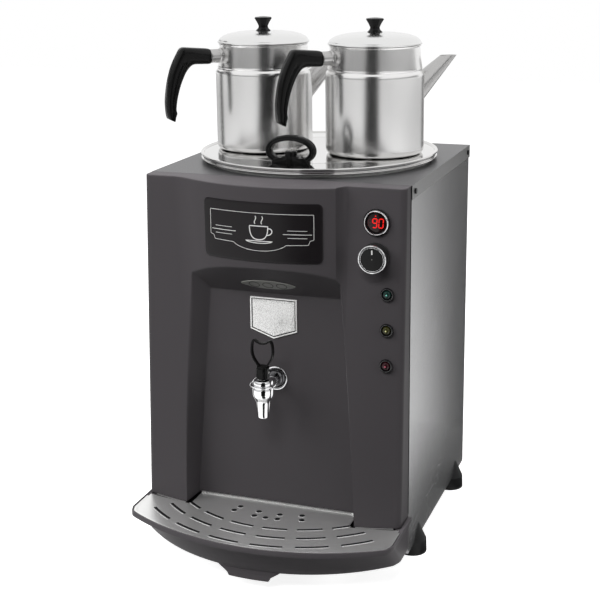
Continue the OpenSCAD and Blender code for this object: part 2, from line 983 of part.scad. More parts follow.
module lid_gasket() {
    color("white")
        translate([0, yl, gasket_z])
            ring(gasket_out, gasket_in, gasket_h);
}

thermo_y = face_y(control_x, knob_z) - seat_h + mould_t + 6;
thermo_w = 36;
thermo_d = 22;

module thermostat_body() {
    color("tan")
        difference() {
            union() {
                translate([control_x - thermo_w / 2, thermo_y, knob_z - thermo_w / 2])
                    cube([thermo_w, thermo_d, thermo_w]);
                along_y(control_x, thermo_y - 4.5, thermo_y + eps, knob_z, spindle_r + 1.6);
            }
            along_y(control_x, thermo_y - 10, thermo_y + 12, knob_z, spindle_r + run_gap);
        }
}

knob_back = face_y(control_x, knob_z) - seat_h - rest_gap * 3;

module thermostat_spindle() {
    color("silver")
        along_y(control_x, knob_back - knob_h + 5, thermo_y + 11, knob_z, spindle_r);
}

module thermostat_capillary() {
    bulb_z = tank_z - 3.2 - rest_gap;
    start = [control_x, thermo_y + thermo_d + rest_gap * 5, knob_z - 8];
    bulb_a = [78, yl - 40, bulb_z];
    bulb_b = [20, yl - 40, bulb_z];
    low = tank_z - 6;
    color("orange")
        union() {
            pipe_run([start, [control_x, yb + 34, knob_z - 30], [control_x, yb + 34, low],
                [110, yl - 70, low], bulb_a], 1, $fn = 8);
            bar(bulb_a, bulb_b, 3);
        }
}

module overheat_cutout() {
    color("black")
        translate([0, yl + 20, tank_z - 12 - rest_gap])
            union() {
                cylinder(h = 12, r = 8);
                translate([-12, -4, 11])
                    cube([24, 8, 1]);
            }
}

// Terminal block: distance from the back, width of a pole, depth and height
block_in = 78;
pole_w = 12;
block_w = 24;
block_h = 20;

module terminal_block() {
    color("white")
        difference() {
            translate([gland_x - 2.5 * pole_w, y_back - block_in, z_low + sheet_t])
                cube([5 * pole_w, block_w, block_h]);
            for (i = [-2:2])
                translate([gland_x + i * pole_w, y_back - block_in + block_w / 2, z_low + sheet_t + 8])
                    cylinder(h = block_h, r = pole_w / 4);
        }
}

module cable_gland() {
    r_in = gland_r * 0.7;
    color("black")
        difference() {
            union() {
                along_y(gland_x, yr, y_back + gland_out, gland_z, gland_r);
                along_y(gland_x, yr - sheet_t - 10, yr + eps, gland_z, r_in);
                along_y(gland_x, yr - sheet_t - 6, yr - sheet_t, gland_z, gland_r + 2, $fn = 6);
            }
            along_y(gland_x, yr - 30, y_back + gland_out + 5, gland_z, cable_r);
        }
}

module control_knob() {
    color("black")
        difference() {
            union() {
                along_y(control_x, knob_back - knob_h, knob_back - 4, knob_z, knob_r - 3);
                along_y(control_x, knob_back - 4 - eps, knob_back, knob_z, knob_r);
                translate([control_x - 1.5, knob_back - knob_h - 1, knob_z + 3])
                    cube([3, 2, knob_r - 8]);
            }
            along_y(control_x, knob_back - knob_h + 5, knob_back + 5, knob_z, spindle_r + run_gap);
        }
}

module knob_ring() {
    color("silver")
        difference() {
            along_y(control_x, knob_back - knob_h + 2, knob_back - 4 - rest_gap, knob_z, knob_r - 0.5);
            along_y(control_x, knob_back - knob_h, knob_back, knob_z, knob_r - 3 + run_gap);
        }
}

module tap_body() {
    mouth = tap_z - nozzle_drop;
    color("silver")
        difference() {
            union() {
                translate([0, tap_y, 0])
                    rotate_extrude()
                        polygon([[0, mouth], [nozzle_r, mouth], [nozzle_r + 2, seat_z - 4],
                            [barrel_r, seat_z + 6], [barrel_r, bonnet_z], [0, bonnet_z]]);
                along_y(0, tap_y, shank_end, tap_z, shank_r);
            }
            translate([0, tap_y, seat_z])
                cylinder(h = 60, r = chamber_r);
            translate([0, tap_y, mouth - 1])
                cylinder(h = 60, r = way_r);
            along_y(0, tap_y, shank_end + 1, tap_z - shank_way_drop, shank_way_r);
            translate([0, tap_y, bonnet_z])
                cylinder(h = bonnet_h, r = ring_r + hole_gap);
        }
}

module tap_flange() {
    d = wall_flange_d;
    color("silver")
        translate([0, recess_y, tap_z])
            rotate([90, 0, 0])
                difference() {
                    rotate_extrude()
                        polygon(concat([[0, 0], [wall_flange_r, 0], [wall_flange_r, 2]],
                            curve([wall_flange_r, 2], [wall_flange_r, d * 0.6], [shank_r + 8, d],
                                [shank_r + 2, d], 6), [[0, d]]));
                    translate([0, 0, -1])
                        cylinder(h = d + 2, r = shank_r + run_gap);
                }
}

module tap_gasket() {
    color("white")
        difference() {
            along_y(0, recess_y + mould_t, tank_front - 1, tap_z, shank_r + 3);
            along_y(0, recess_y, tank_front + 5, tap_z, shank_r + run_gap);
        }
}

module tap_nut() {
    y0 = tank_front + tank_t + 2;
    color("silver")
        difference() {
            along_y(0, y0, y0 + 8, tap_z, shank_r + 6, $fn = 6);
            along_y(0, y0 - 5, y0 + 20, tap_z, shank_r + run_gap);
        }
}

module tap_bonnet() {
    color("silver")
        translate([0, tap_y, bonnet_z])
            difference() {
                union() {
                    cylinder(h = bonnet_h, r = barrel_r);
                    translate([0, 0, 3])
                        cylinder(h = 2.5, r = ring_r);
                }
                translate([0, 0, -1])
                    cylinder(h = bonnet_h - 2, r = chamber_r);
                translate([0, 0, -1])
                    cylinder(h = bonnet_h + 2, r = stem_r + run_gap);
            }
}

// Spring between the valve seat cup and the bonnet's roof
cup_h = 7;
spring_low = seat_z + rest_gap + cup_h + wire_r + rest_gap;
spring_high = bonnet_z + bonnet_h - 3 - wire_r - rest_gap;
spring_r = (stem_r + chamber_r) / 2;

module tap_spring() {
    steps = 8 * spring_n;
    sides = 6;
    ring_points = [for (i = [0:steps], j = [0:sides - 1])
        let (a = 360 * spring_n * i / steps, b = 360 * j / sides,
            r = spring_r + wire_r * cos(b), z = spring_low + (spring_high - spring_low) * i / steps)
        [r * cos(a), r * sin(a), z + wire_r * sin(b)]];
    skin = [for (i = [0:steps - 1], j = [0:sides - 1], k = [0, 1])
        let (p = i * sides + j, q = i * sides + (j + 1) % sides)
        k == 0 ? [p, p + sides, q] : [q, p + sides, q + sides]];
    first = [for (j = [1:sides - 2]) [0, j, j + 1]];
    last = [for (j = [1:sides - 2]) [steps * sides, steps * sides + j + 1, steps * sides + j]];
    color("silver")
        translate([0, tap_y, 0])
            polyhedron(ring_points, concat(skin, first, last));
}

module tap_stem() {
    color("silver")
        difference() {
            translate([0, tap_y, seat_z + rest_gap + 2])
                cylinder(h = pivot_z + stem_r - seat_z - rest_gap - 2, r = stem_r);
            across_x(tap_y, pivot_z, 20, pin_r);
        }
}

module tap_seat() {
    color("white")
        translate([0, tap_y, seat_z + rest_gap])
            difference() {
                cylinder(h = cup_h, r = (chamber_r + way_r) / 2 + 1);
                translate([0, 0, 2])
                    cylinder(h = cup_h, r = stem_r);
            }
}

module tap_pin() {
    color("silver")
        across_x(tap_y, pivot_z, hub_w, pin_r);
}

// Outline of the handle loop above the hub, drawn wider by grow
module loop_outline(grow) {
    w = loop_half + grow - loop_t;
    base = 4 + grow - loop_t;
    top = loop_h + grow - loop_t;
    low = loop_t - grow;
    right = concat(curve([base, low], [w, low + loop_h * 0.3], [w, top * 0.8], [w * 0.85, top - 2], 8),
        curve([w * 0.85, top - 2], [w * 0.6, top], [w * 0.3, top], [0, top], 4));
    left = [for (i = [len(right) - 1:-1:0]) [-right[i][0], right[i][1]]];
    polygon(concat(right, left));
}

module tap_handle() {
    slot = stem_r + loose_gap / 2;
    color("black")
        difference() {
            union() {
                across_x(tap_y, pivot_z, hub_w, hub_r);
                translate([0, tap_y + loop_d / 2, pivot_z + hub_r - loop_t])
                    rotate([90, 0, 0])
                        linear_extrude(loop_d)
                            difference() {
                                loop_outline(loop_t);
                                loop_outline(0);
                            }
            }
            translate([-slot, tap_y - cut_over, pivot_z - cut_over])
                cube([2 * slot, 2 * cut_over, cut_over + stem_r * 1.5]);
            across_x(tap_y, pivot_z, 40, pin_r + run_gap);
        }
}

// Plan of the tray or skirt: round front, straight sides and back
module tray_plan(reach, r, w, back) {
    intersection() {
        translate([0, r - reach])
            circle(r, $fn = 180);
        translate([-w / 2, -reach - 1])
            square([w, reach + 1 - back]);
    }
}

tray_back = 2;

module rim_plan(inset) {
    offset(r = rim_corner - inset, $fn = 32)
        offset(delta = -rim_corner)
            tray_plan(tray_reach, tray_r, tray_w, tray_back);
}

module skirt_plan(inset, low) {
    reach = (low ? skirt_low_reach : skirt_reach) - inset;
    r = (low ? skirt_low_r : skirt_r) - inset;
    tray_plan(reach, r, skirt_w - 2 * inset, tray_back + inset);
}

module skirt(inset) {
    hull() {
        translate([0, yb, tray_top - rim_h - (inset > 0 ? -rim_h : 0)])
            linear_extrude(eps)
                skirt_plan(inset, false);
        translate([0, yb, skirt_z + inset])
            linear_extrude(eps)
                skirt_plan(inset, true);
    }
}

seat_drop = grille_drop + grille_t + rest_gap;

module drip_tray() {
    ledge = rim_w + 6;
    color("dimgray")
        difference() {
            union() {
                translate([0, yb, tray_top - rim_h])
                    linear_extrude(rim_h)
                        rim_plan(0);
                skirt(0);
                pull_tab();
            }
            translate([0, yb, tray_top - seat_drop])
                linear_extrude(seat_drop + 1)
                    rim_plan(rim_w);
            intersection() {
                skirt(mould_t);
                translate([0, yb, 0])
                    linear_extrude(tray_top)
                        rim_plan(ledge);
            }
        }
}

module pull_tab() {
    low = tab_z;
    top = skirt_z + mould_t;
    translate([0, yb, 0])
        intersection() {
            translate([0, skirt_low_r - skirt_low_reach, low])
                ring(skirt_low_r, skirt_low_r - mould_t, top - low, $fn = 180);
            translate([0, -skirt_low_reach + 30, 0])
                rotate([90, 0, 0])
                    linear_extrude(60)
                        polygon([[-tab_w / 2, low - 1], [tab_w / 2, low - 1],
                            [tab_w / 2 + tab_flare, top + 1], [-tab_w / 2 - tab_flare, top + 1]]);
        }
}

// Centre of the slot rows, measured back from the sheet's front
slot_centre = slot_r - tray_reach + 13;

module slot(r, a) {
    rotate([0, 0, 270 + a - slot_span / 2]) {
        rotate_extrude(angle = slot_span)
            translate([r - slot_w / 2, -5])
                square([slot_w, 10]);
        for (e = [0, slot_span])
            rotate([0, 0, e])
                translate([r, 0, -5])
                    cylinder(h = 10, r = slot_w / 2);
    }
}

// Narrowing of the recess over the grille's lift
lift_draft = (recess_low - recess_high) / (recess_top - panel_z) * grille_lift;

module drip_grille() {
    z0 = tray_top - grille_drop - grille_t;
    tongue = recess_low - lift_draft - loose_gap;
    color("silver")
        difference() {
            union() {
                translate([0, yb, z0])
                    linear_extrude(grille_t)
                        difference() {
                            rim_plan(rim_w + loose_gap);
                            polygon(panel_plan(panel_x + cut_over, strip_low + 2 * loose_gap, panel_crown, 10));
                        }
                translate([-tongue, recess_y - bulge_reach, z0])
                    cube([2 * tongue, bulge_reach - loose_gap, grille_t]);
                translate([-tongue, recess_y - loose_gap - grille_t, z0])
                    cube([2 * tongue, grille_t, lip_h]);
            }
            translate([0, yb + slot_centre, z0])
                for (row = [0:2], i = [-2.5:1:2.5])
                    slot(slot_r - row * slot_pitch, i * slot_step);
            translate([0, yb + slot_centre, z0 - cut_over])
                for (h = [[0, -3], [0, -1], [0, 0], [0, 1], [0, 3], [1, -3], [1, -1], [1, 1], [1, 3]])
                    rotate([0, 0, 270 + h[1] * slot_step * 0.42])
                        translate([slot_r - slot_pitch * (3.15 + h[0] * 0.55), 0, 0])
                            cylinder(h = 2 * cut_over, r = hole_r);
        }
}

module boiler_lid() {
    color("silver")
        translate([0, yl, 0])
            difference() {
                union() {
                    translate([0, 0, lid_z - lid_t])
                        cylinder(h = lid_t, r = lid_r - roll_r, $fn = 120);
                    translate([0, 0, z_top + 13 - roll_r])
                        rotate_extrude($fn = 120)
                            translate([lid_r - roll_r, 0])
                                circle(roll_r, $fn = 32);
                    translate([0, 0, lid_z - plug_h])
                        ring(plug_r, plug_r - lid_t, plug_h - eps);
                    translate([0, 0, lid_seat_z])
                        ring(gasket_out - 1, gasket_in + 1, lid_z - lid_t / 2 - lid_seat_z);
                }
                translate([0, -lid_handle_out, lid_z - 10])
                    cylinder(h = 20, r = screw_r + hole_gap);
            }
}

// Height of the screw head's seat in the boss
head_z = boss_h - 2;

// Outline of the lid handle: a bow on a splayed base
module bow_outline(inset) {
    w = bow_half - inset;
    low = bow_base_h - 2 + inset;
    foot = bow_half * 0.62 - inset;
    right = concat([[foot, low]], curve([foot, low], [w * 1.1, low + bow_h * 0.28], [w * 1.05, bow_h * 0.68],
        [w * 0.6, bow_h - inset * 1.05 - 3], 8), curve([w * 0.6, bow_h - inset * 1.05 - 3],
        [w * 0.35, bow_h - inset], [w * 0.2, bow_h - inset], [0, bow_h - inset], 4));
    left = [for (i = [len(right) - 1:-1:0]) [-right[i][0], right[i][1]]];
    polygon(concat(right, left));
}

module lid_handle() {
    color("black")
        translate([0, yl - lid_handle_out, lid_z])
            difference() {
                union() {
                    rotate([90, 0, 0])
                        linear_extrude(bow_d, center = true) {
                            difference() {
                                bow_outline(0);
                                bow_outline(bow_t);
                            }
                            polygon([[-bow_foot, 0], [bow_foot, 0], [bow_foot - bow_taper, bow_base_h],
                                [bow_taper - bow_foot, bow_base_h]]);
                        }
                    cylinder(h = boss_h, r = boss_r);
                }
                translate([0, 0, -1])
                    cylinder(h = 2 * boss_h, r = screw_r + hole_gap);
                translate([0, 0, head_z])
                    cylinder(h = boss_h, r = screw_head_r + hole_gap);
            }
}

module lid_handle_screw() {
    color("silver")
        translate([0, yl - lid_handle_out, lid_z + head_z])
            screw(head_z + lid_t + 4);
}

module at_pot(side) {
    translate([side * pot_x, yl, pot_z])
        rotate([0, 0, pot_turn])
            children();
}

spout_angle = atan2(spout_h - spout_root_h, spout_reach - pot_r);

// Cone along the spout's axis, from inside the body to past the mouth
module spout_cone(inset) {
    back = 20;
    l = norm([spout_reach - pot_r, spout_h - spout_root_h]);
    over = 16;
    fall = (spout_root_r - spout_tip_r) / l;
    translate([pot_r, 0, spout_root_h])
        rotate([0, 90 - spout_angle, 0])
            translate([0, 0, -back])
                cylinder(h = back + l + over, r1 = spout_root_r + fall * back - inset,
                    r2 = spout_tip_r - fall * over - inset);
}

module pot_body(side) {
    f = pot_fillet;
    bead = 1.3;
    outer = concat([[0, 0]], arc(pot_r - f, f, f, 270, 360, 6),
        [[pot_r, pot_body_h - 4], [pot_r - 1, pot_body_h - 2], [pot_r - 1, pot_body_h - 1.5],
            [neck_low_r + bead, pot_body_h], [neck_low_r, pot_body_h + 2], [neck_r, rim_z - 2],
            [neck_r + bead, rim_z - 1.5], [neck_r + bead, rim_z]]);
    inner = concat([[neck_r - pot_t, rim_z], [neck_low_r - pot_t, pot_body_h + 2]],
        [[pot_r - pot_t - 1, pot_body_h - 4]], arc(pot_r - f, f, f - pot_t, 360, 270, 6), [[0, pot_t]]);
    color("silver")
        at_pot(side)
            difference() {
                rotate_extrude($fn = 120)
                    polygon(concat(outer, inner));
                intersection() {
                    spout_cone(pot_t + 2);
                    translate([pot_r - 20, -40, 0])
                        cube([60, 80, pot_body_h]);
                }
            }
}

module pot_spout(side) {
    color("silver")
        at_pot(side)
            difference() {
                spout_cone(0);
                spout_cone(pot_t);
                translate([0, 0, -1])
                    cylinder(h = 2 * rim_z, r = pot_r + run_gap, $fn = 120);
                translate([0, -60, spout_h])
                    cube([300, 120, 100]);
            }
}

module pot_ferrule(side) {
    color("silver")
        at_pot(side)
            difference() {
                translate([-stub_start, 0, grip_z])
                    rotate([0, 90, 0])
                        cylinder(h = stub_start - neck_r + 20, r = ferrule_r);
                translate([0, 0, pot_body_h - 20])
                    cylinder(h = neck_h + 20, r1 = neck_low_r + 2 + run_gap, r2 = neck_r + run_gap, $fn = 120);
            }
}

module pot_handle(side) {
    top = grip_z + stub_t / 2;
    low = grip_z - stub_t / 2;
    outer = curve([grip_reach - 31, top + 3.5], [grip_reach - 18, top + 2], [grip_reach + 8, grip_low + 54],
        [grip_reach - 2, grip_low + 7], 10);
    inner = curve([grip_reach - 17, grip_low], [grip_reach - 19, grip_low + 22],
        [grip_reach - 27, grip_low + 58], [grip_reach - 43, low + 1], 10);
    color("black")
        at_pot(side)
            rotate([90, 0, 180])
                linear_extrude(grip_w, center = true)
                    polygon(concat([[stub_start, low], [stub_start, top]], outer, inner));
}

module pot_lid(side) {
    edge = rim_z + rest_gap;
    top = curve([pot_lid_r, edge + 2.5], [pot_lid_r * 0.92, edge + dome_h * 0.72],
        [pot_lid_r * 0.6, edge + dome_h], [0, edge + dome_h], 8);
    under = curve([0, edge + dome_h - pot_t], [pot_lid_r * 0.6, edge + dome_h - pot_t],
        [pot_lid_r * 0.86, edge + dome_h * 0.6 - pot_t], [neck_r - pot_t - 3, edge + 1.5], 8);
    plug = neck_r - pot_t - 2;
    color("silver")
        at_pot(side)
            rotate_extrude($fn = 120)
                polygon(concat(top, under, [[plug - pot_t, edge - 8], [plug, edge - 8], [plug, edge],
                    [pot_lid_r, edge]]));
}

module pot_knob(side) {
    z0 = rim_z + rest_gap + dome_h;
    r = pot_knob_r;
    h = pot_knob_h;
    color("black")
        at_pot(side)
            rotate_extrude()
                polygon(concat([[0, z0], [r * 0.66, z0]],
                    curve([r * 0.66, z0 + 1.5], [r * 0.45, z0 + h * 0.35], [r * 0.5, z0 + h * 0.5],
                        [r, z0 + h * 0.8], 6),
                    curve([r, z0 + h * 0.9], [r * 0.8, z0 + h], [r * 0.4, z0 + h], [0, z0 + h], 4)));
}

base_plate();
side_panel(-1);  // left_side_panel
side_panel(1);  // right_side_panel
back_panel();
top_cover();
casing_screws();
front_panel();
nameplate();
shield_plate();
display_bezel();
display_window();
display_module();
lamp_bezels();
green_lamp();
amber_lamp();
red_lamp();
recess_lamp_lens();
recess_lamp_board();
feet();
foot_screws();
boiler_tank();
boiler_jacket();
boiler_stand();
heating_element();
lid_gasket();
thermostat_body();
thermostat_spindle();
thermostat_capillary();
overheat_cutout();
terminal_block();
cable_gland();
control_knob();
knob_ring();
tap_body();
tap_flange();
tap_gasket();
tap_nut();
tap_bonnet();
tap_spring();
tap_stem();
tap_seat();
tap_pin();
tap_handle();
drip_tray();
drip_grille();
boiler_lid();
lid_handle();
lid_handle_screw();
pot_body(-1);  // left_pot_body
pot_spout(-1);  // left_pot_spout
pot_ferrule(-1);  // left_pot_ferrule
pot_handle(-1);  // left_pot_handle
pot_lid(-1);  // left_pot_lid
pot_knob(-1);  // left_pot_knob
pot_body(1);  // right_pot_body
pot_spout(1);  // right_pot_spout
pot_ferrule(1);  // right_pot_ferrule
pot_handle(1);  // right_pot_handle
pot_lid(1);  // right_pot_lid
pot_knob(1);  // right_pot_knob
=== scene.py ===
import math
import bpy
import bmesh
import numpy as np
from mathutils import Matrix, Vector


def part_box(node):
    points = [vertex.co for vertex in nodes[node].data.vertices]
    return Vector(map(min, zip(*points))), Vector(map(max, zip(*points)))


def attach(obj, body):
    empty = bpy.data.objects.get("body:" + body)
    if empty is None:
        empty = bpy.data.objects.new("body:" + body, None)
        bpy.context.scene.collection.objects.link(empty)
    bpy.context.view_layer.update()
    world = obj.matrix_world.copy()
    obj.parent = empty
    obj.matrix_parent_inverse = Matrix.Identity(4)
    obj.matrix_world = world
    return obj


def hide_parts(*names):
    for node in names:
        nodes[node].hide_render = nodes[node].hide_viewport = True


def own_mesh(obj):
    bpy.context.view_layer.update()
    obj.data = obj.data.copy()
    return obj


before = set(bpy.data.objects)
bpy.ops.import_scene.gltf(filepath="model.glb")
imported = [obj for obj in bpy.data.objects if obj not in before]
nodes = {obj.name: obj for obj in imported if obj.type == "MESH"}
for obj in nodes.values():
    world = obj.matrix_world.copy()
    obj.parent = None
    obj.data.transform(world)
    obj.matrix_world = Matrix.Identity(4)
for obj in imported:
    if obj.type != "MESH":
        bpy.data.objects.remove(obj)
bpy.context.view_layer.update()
scene = bpy.context.scene
print("frame loaded:", len(nodes), "nodes")

mm = 0.001


# shapes, all in millimetres until a piece is made

def smoothStep(t):  # 0 to 1 with level ends
    t = np.clip(t, 0.0, 1.0)
    return t * t * (3 - 2 * t)


def softMax(a, b, k):  # the larger of two heights, rounded over k where they cross
    h = np.maximum(k - np.abs(a - b), 0) / k
    return np.maximum(a, b) + h * h * k / 4


def softMin(a, b, k):
    return -softMax(-a, -b, k)


def xyz(x, y, z):  # points from three coordinates, each an array or one number
    return np.stack(np.broadcast_arrays(x, y, z), -1)


def arc(x, y, r, t):  # points on a circle about x, y at the angles t
    return np.stack([x + r * np.cos(t), y + r * np.sin(t)], 1)


def spread(stops, counts):  # counts steps in each stretch between stops
    parts = [np.linspace(a, b, n, endpoint=False) for a, b, n in zip(stops[:-1], stops[1:], counts)]
    return np.concatenate(parts + [np.array([stops[-1]], float)])


def bezier(a, b, c, d, n):  # cubic curve from a to d with guide points b and c
    t = np.linspace(0, 1, n + 1)[:, None]
    s = 1 - t
    a, b, c, d = (np.asarray(p, float) for p in (a, b, c, d))
    return s ** 3 * a + 3 * s * s * t * b + 3 * s * t * t * c + t ** 3 * d


def rounded(points, radius, n=5, closed=False):
    # polyline with its corners eased by curves that start radius before them
    p = np.asarray(points, float)
    r = np.broadcast_to(np.asarray(radius, float), (len(p),))
    out = []
    for i in range(len(p)):
        if not closed and i in (0, len(p) - 1):
            out.append(p[i][None])
            continue
        a, b, c = p[i - 1], p[i], p[(i + 1) % len(p)]
        la, lc = np.linalg.norm(a - b), np.linalg.norm(c - b)
        d = min(r[i], la * 0.48, lc * 0.48)
        if d < 1e-6:
            out.append(b[None])
            continue
        t = np.linspace(0, 1, n + 1)[:, None]
        p0, p2 = b + (a - b) / la * d, b + (c - b) / lc * d
        out.append((1 - t) ** 2 * p0 + 2 * t * (1 - t) * b + t * t * p2)
    line = np.concatenate(out)
    return np.concatenate([line, line[:1]]) if closed else line


def evenly(line, n):  # n + 1 points at equal steps along a polyline
    line = np.asarray(line, float)
    d = np.concatenate([[0], np.cumsum(np.linalg.norm(np.diff(line, axis=0), axis=1))])
    s = np.linspace(0, d[-1], n + 1)
    return np.stack([np.interp(s, d, line[:, k]) for k in range(line.shape[1])], 1)


axisFrames = {
    "up": ((1, 0, 0), (0, 1, 0), (0, 0, 1)),
    "front": ((1, 0, 0), (0, 0, 1), (0, -1, 0)),
    "back": ((1, 0, 0), (0, 0, 1), (0, 1, 0)),
}


def lathe(profile, centre, axis="up", n=96, swell=None):
    # profile rows of radius and height turned about the axis: c + r cos t ex + r sin t ey + h ez
    p = np.asarray(profile, float)
    ex, ey, ez = (np.asarray(v, float) for v in (axisFrames[axis] if isinstance(axis, str) else axis))
    t = np.linspace(0, 2 * np.pi, n + 1)
    r = p[:, :1] * (1 if swell is None else swell(t)[None])
    around = np.cos(t)[None, :, None] * ex + np.sin(t)[None, :, None] * ey
    grid = np.asarray(centre, float) + r[..., None] * around + p[:, 1][:, None, None] * ez
    v = np.concatenate([[0], np.cumsum(np.linalg.norm(np.diff(p, axis=0), axis=1))])
    uv = np.stack(np.broadcast_arrays(t[None] / (2 * np.pi), v[:, None] / 100), -1)
    return grid, uv


def closeEnds(grid):  # ends of a tube drawn together to their middle points
    first, last = (np.broadcast_to(row.mean(0), (1,) + grid.shape[1:]) for row in (grid[0], grid[-1]))
    return np.concatenate([first, grid, last])


def tube(path, section, side, sizes=None):
    # closed section rows (a, b) carried along the path: a along side x tangent, b along side, scaled by sizes
    path = np.asarray(path, float)
    section = np.asarray(section, float)
    tangent = np.gradient(path, axis=0)
    tangent /= np.linalg.norm(tangent, axis=1)[:, None]
    side = np.asarray(side, float)
    across = np.cross(np.broadcast_to(side, tangent.shape), tangent)
    across /= np.linalg.norm(across, axis=1)[:, None]
    sizes = np.ones((len(path), 2)) if sizes is None else np.asarray(sizes, float)
    grid = (path[:, None] + section[None, :, :1] * sizes[:, None, :1] * across[:, None]
            + section[None, :, 1:] * sizes[:, None, 1:] * side)
    return closeEnds(grid)


def ringStack(rings):
    # closed outlines with the same number of points, one above the other, drawn together at both ends
    return closeEnds(np.asarray(rings, float))


def superOval(a, b, power, n=48):  # oval |x/a|^p + |y/b|^p = 1, closed
    t = np.linspace(0, 2 * np.pi, n + 1)
    c, s = np.cos(t), np.sin(t)
    return np.stack([a * np.sign(c) * np.abs(c) ** (2 / power), b * np.sign(s) * np.abs(s) ** (2 / power)], 1)


def piece(name, parts, material, body, node=None, sharp=40):
    # grids of points (and their UV) become one mesh: quads between neighbours, doubles merged, faces outwards
    verts, faces, uvs, start = [], [], [], 0
    for part in parts if isinstance(parts, list) else [parts]:
        grid, uv = part if isinstance(part, tuple) else (part, None)
        nu, nv = grid.shape[:2]
        if uv is None:
            uv = np.stack(np.meshgrid(np.linspace(0, 1, nu), np.linspace(0, 1, nv), indexing="ij"), -1)
        i = np.arange(nu - 1)[:, None] * nv + np.arange(nv - 1)[None] + start
        faces.append(np.stack([i, i + 1, i + nv + 1, i + nv], -1).reshape(-1, 4))
        verts.append(grid.reshape(-1, 3))
        uvs.append(uv.reshape(-1, 2))
        start += nu * nv
    verts, faces, uvs = np.concatenate(verts) * mm, np.concatenate(faces), np.concatenate(uvs)
    mesh = bpy.data.meshes.new(name)
    mesh.from_pydata(verts.tolist(), [], faces.tolist())
    layer = mesh.uv_layers.new(name="UVMap")
    layer.data.foreach_set("uv", uvs[faces.reshape(-1)].astype(np.float32).reshape(-1))
    bm = bmesh.new()
    bm.from_mesh(mesh)
    bmesh.ops.remove_doubles(bm, verts=bm.verts, dist=2e-6)
    bmesh.ops.dissolve_degenerate(bm, dist=1e-7, edges=bm.edges)
    bmesh.ops.recalc_face_normals(bm, faces=bm.faces)
    bm.to_mesh(mesh)
    bm.free()
    mesh.polygons.foreach_set("use_smooth", np.ones(len(mesh.polygons), bool))
    mesh.set_sharp_from_angle(angle=math.radians(sharp))
    obj = bpy.data.objects.new(name, mesh)
    scene.collection.objects.link(obj)
    for m in material if isinstance(material, list) else [material]:
        mesh.materials.append(m)
    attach(obj, body)
    for n in [] if node is None else [node] if isinstance(node, str) else node:
        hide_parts(n)
    return obj


# shader groups and finishes

def addNode(tree, kind, values=None, **settings):  # a shader node with its settings and the values of its sockets
    node = tree.nodes.new("ShaderNode" + kind)
    for key, value in settings.items():
        setattr(node, key, value)
    for key, value in (values or {}).items():
        node.inputs[key].default_value = value
    return node


def wire(tree, *links):  # each link as node, output, node, input
    for source, out, target, into in links:
        tree.links.new(source.outputs[out], target.inputs[into])


def newGroup(name, inputs, outputs):  # a vector and floats with their defaults go in, floats come out
    group = bpy.data.node_groups.new(name, "ShaderNodeTree")
    group.interface.new_socket("Vector", in_out="INPUT", socket_type="NodeSocketVector")
    for label, value in inputs.items():
        group.interface.new_socket(label, in_out="INPUT", socket_type="NodeSocketFloat").default_value = value
    for label in outputs:
        group.interface.new_socket(label, in_out="OUTPUT", socket_type="NodeSocketFloat")
    return group, group.nodes.new("NodeGroupInput"), group.nodes.new("NodeGroupOutput")


def makeGrain():  # noise on a given vector: a mask between two values, and the raw height for a bump
    group, given, made = newGroup("surfaceGrain", {"Scale": 50.0, "Low": 0.0, "High": 1.0}, ["Mask", "Height"])
    noise = addNode(group, "TexNoise", {"Detail": 3.0, "Roughness": 0.55})
    level = addNode(group, "MapRange", {"From Min": 0.3, "From Max": 0.7})
    wire(group, (given, "Vector", noise, "Vector"), (given, "Scale", noise, "Scale"),
         (noise, "Fac", level, "Value"), (given, "Low", level, "To Min"), (given, "High", level, "To Max"),
         (level, "Result", made, "Mask"), (noise, "Fac", made, "Height"))
    return group


def makeSmudge():  # broad cloudy patches, as of a wiped surface, laid over a fine mask
    group, given, made = newGroup("wipedSurface", {"Scale": 9.0, "Fine": 0.3, "Amount": 0.06}, ["Value"])
    noise = addNode(group, "TexNoise", {"Detail": 5.0, "Distortion": 0.6})
    centred = addNode(group, "Math", {1: 0.5}, operation="SUBTRACT")
    laid = addNode(group, "Math", operation="MULTIPLY_ADD")
    wire(group, (given, "Vector", noise, "Vector"), (given, "Scale", noise, "Scale"), (noise, "Fac", centred, 0),
         (centred, 0, laid, 0), (given, "Amount", laid, 1), (given, "Fine", laid, 2), (laid, 0, made, "Value"))
    return group


grainGroup = makeGrain()
smudgeGroup = makeSmudge()
bumpHeight = 0.0004


def plainMaterial(name, values):  # a material with some of its shader's sockets set
    mat = bpy.data.materials.new(name)
    mat.use_nodes = True
    bsdf = mat.node_tree.nodes["Principled BSDF"]
    for key, value in values.items():
        bsdf.inputs[key].default_value = value
    return mat, mat.node_tree, bsdf


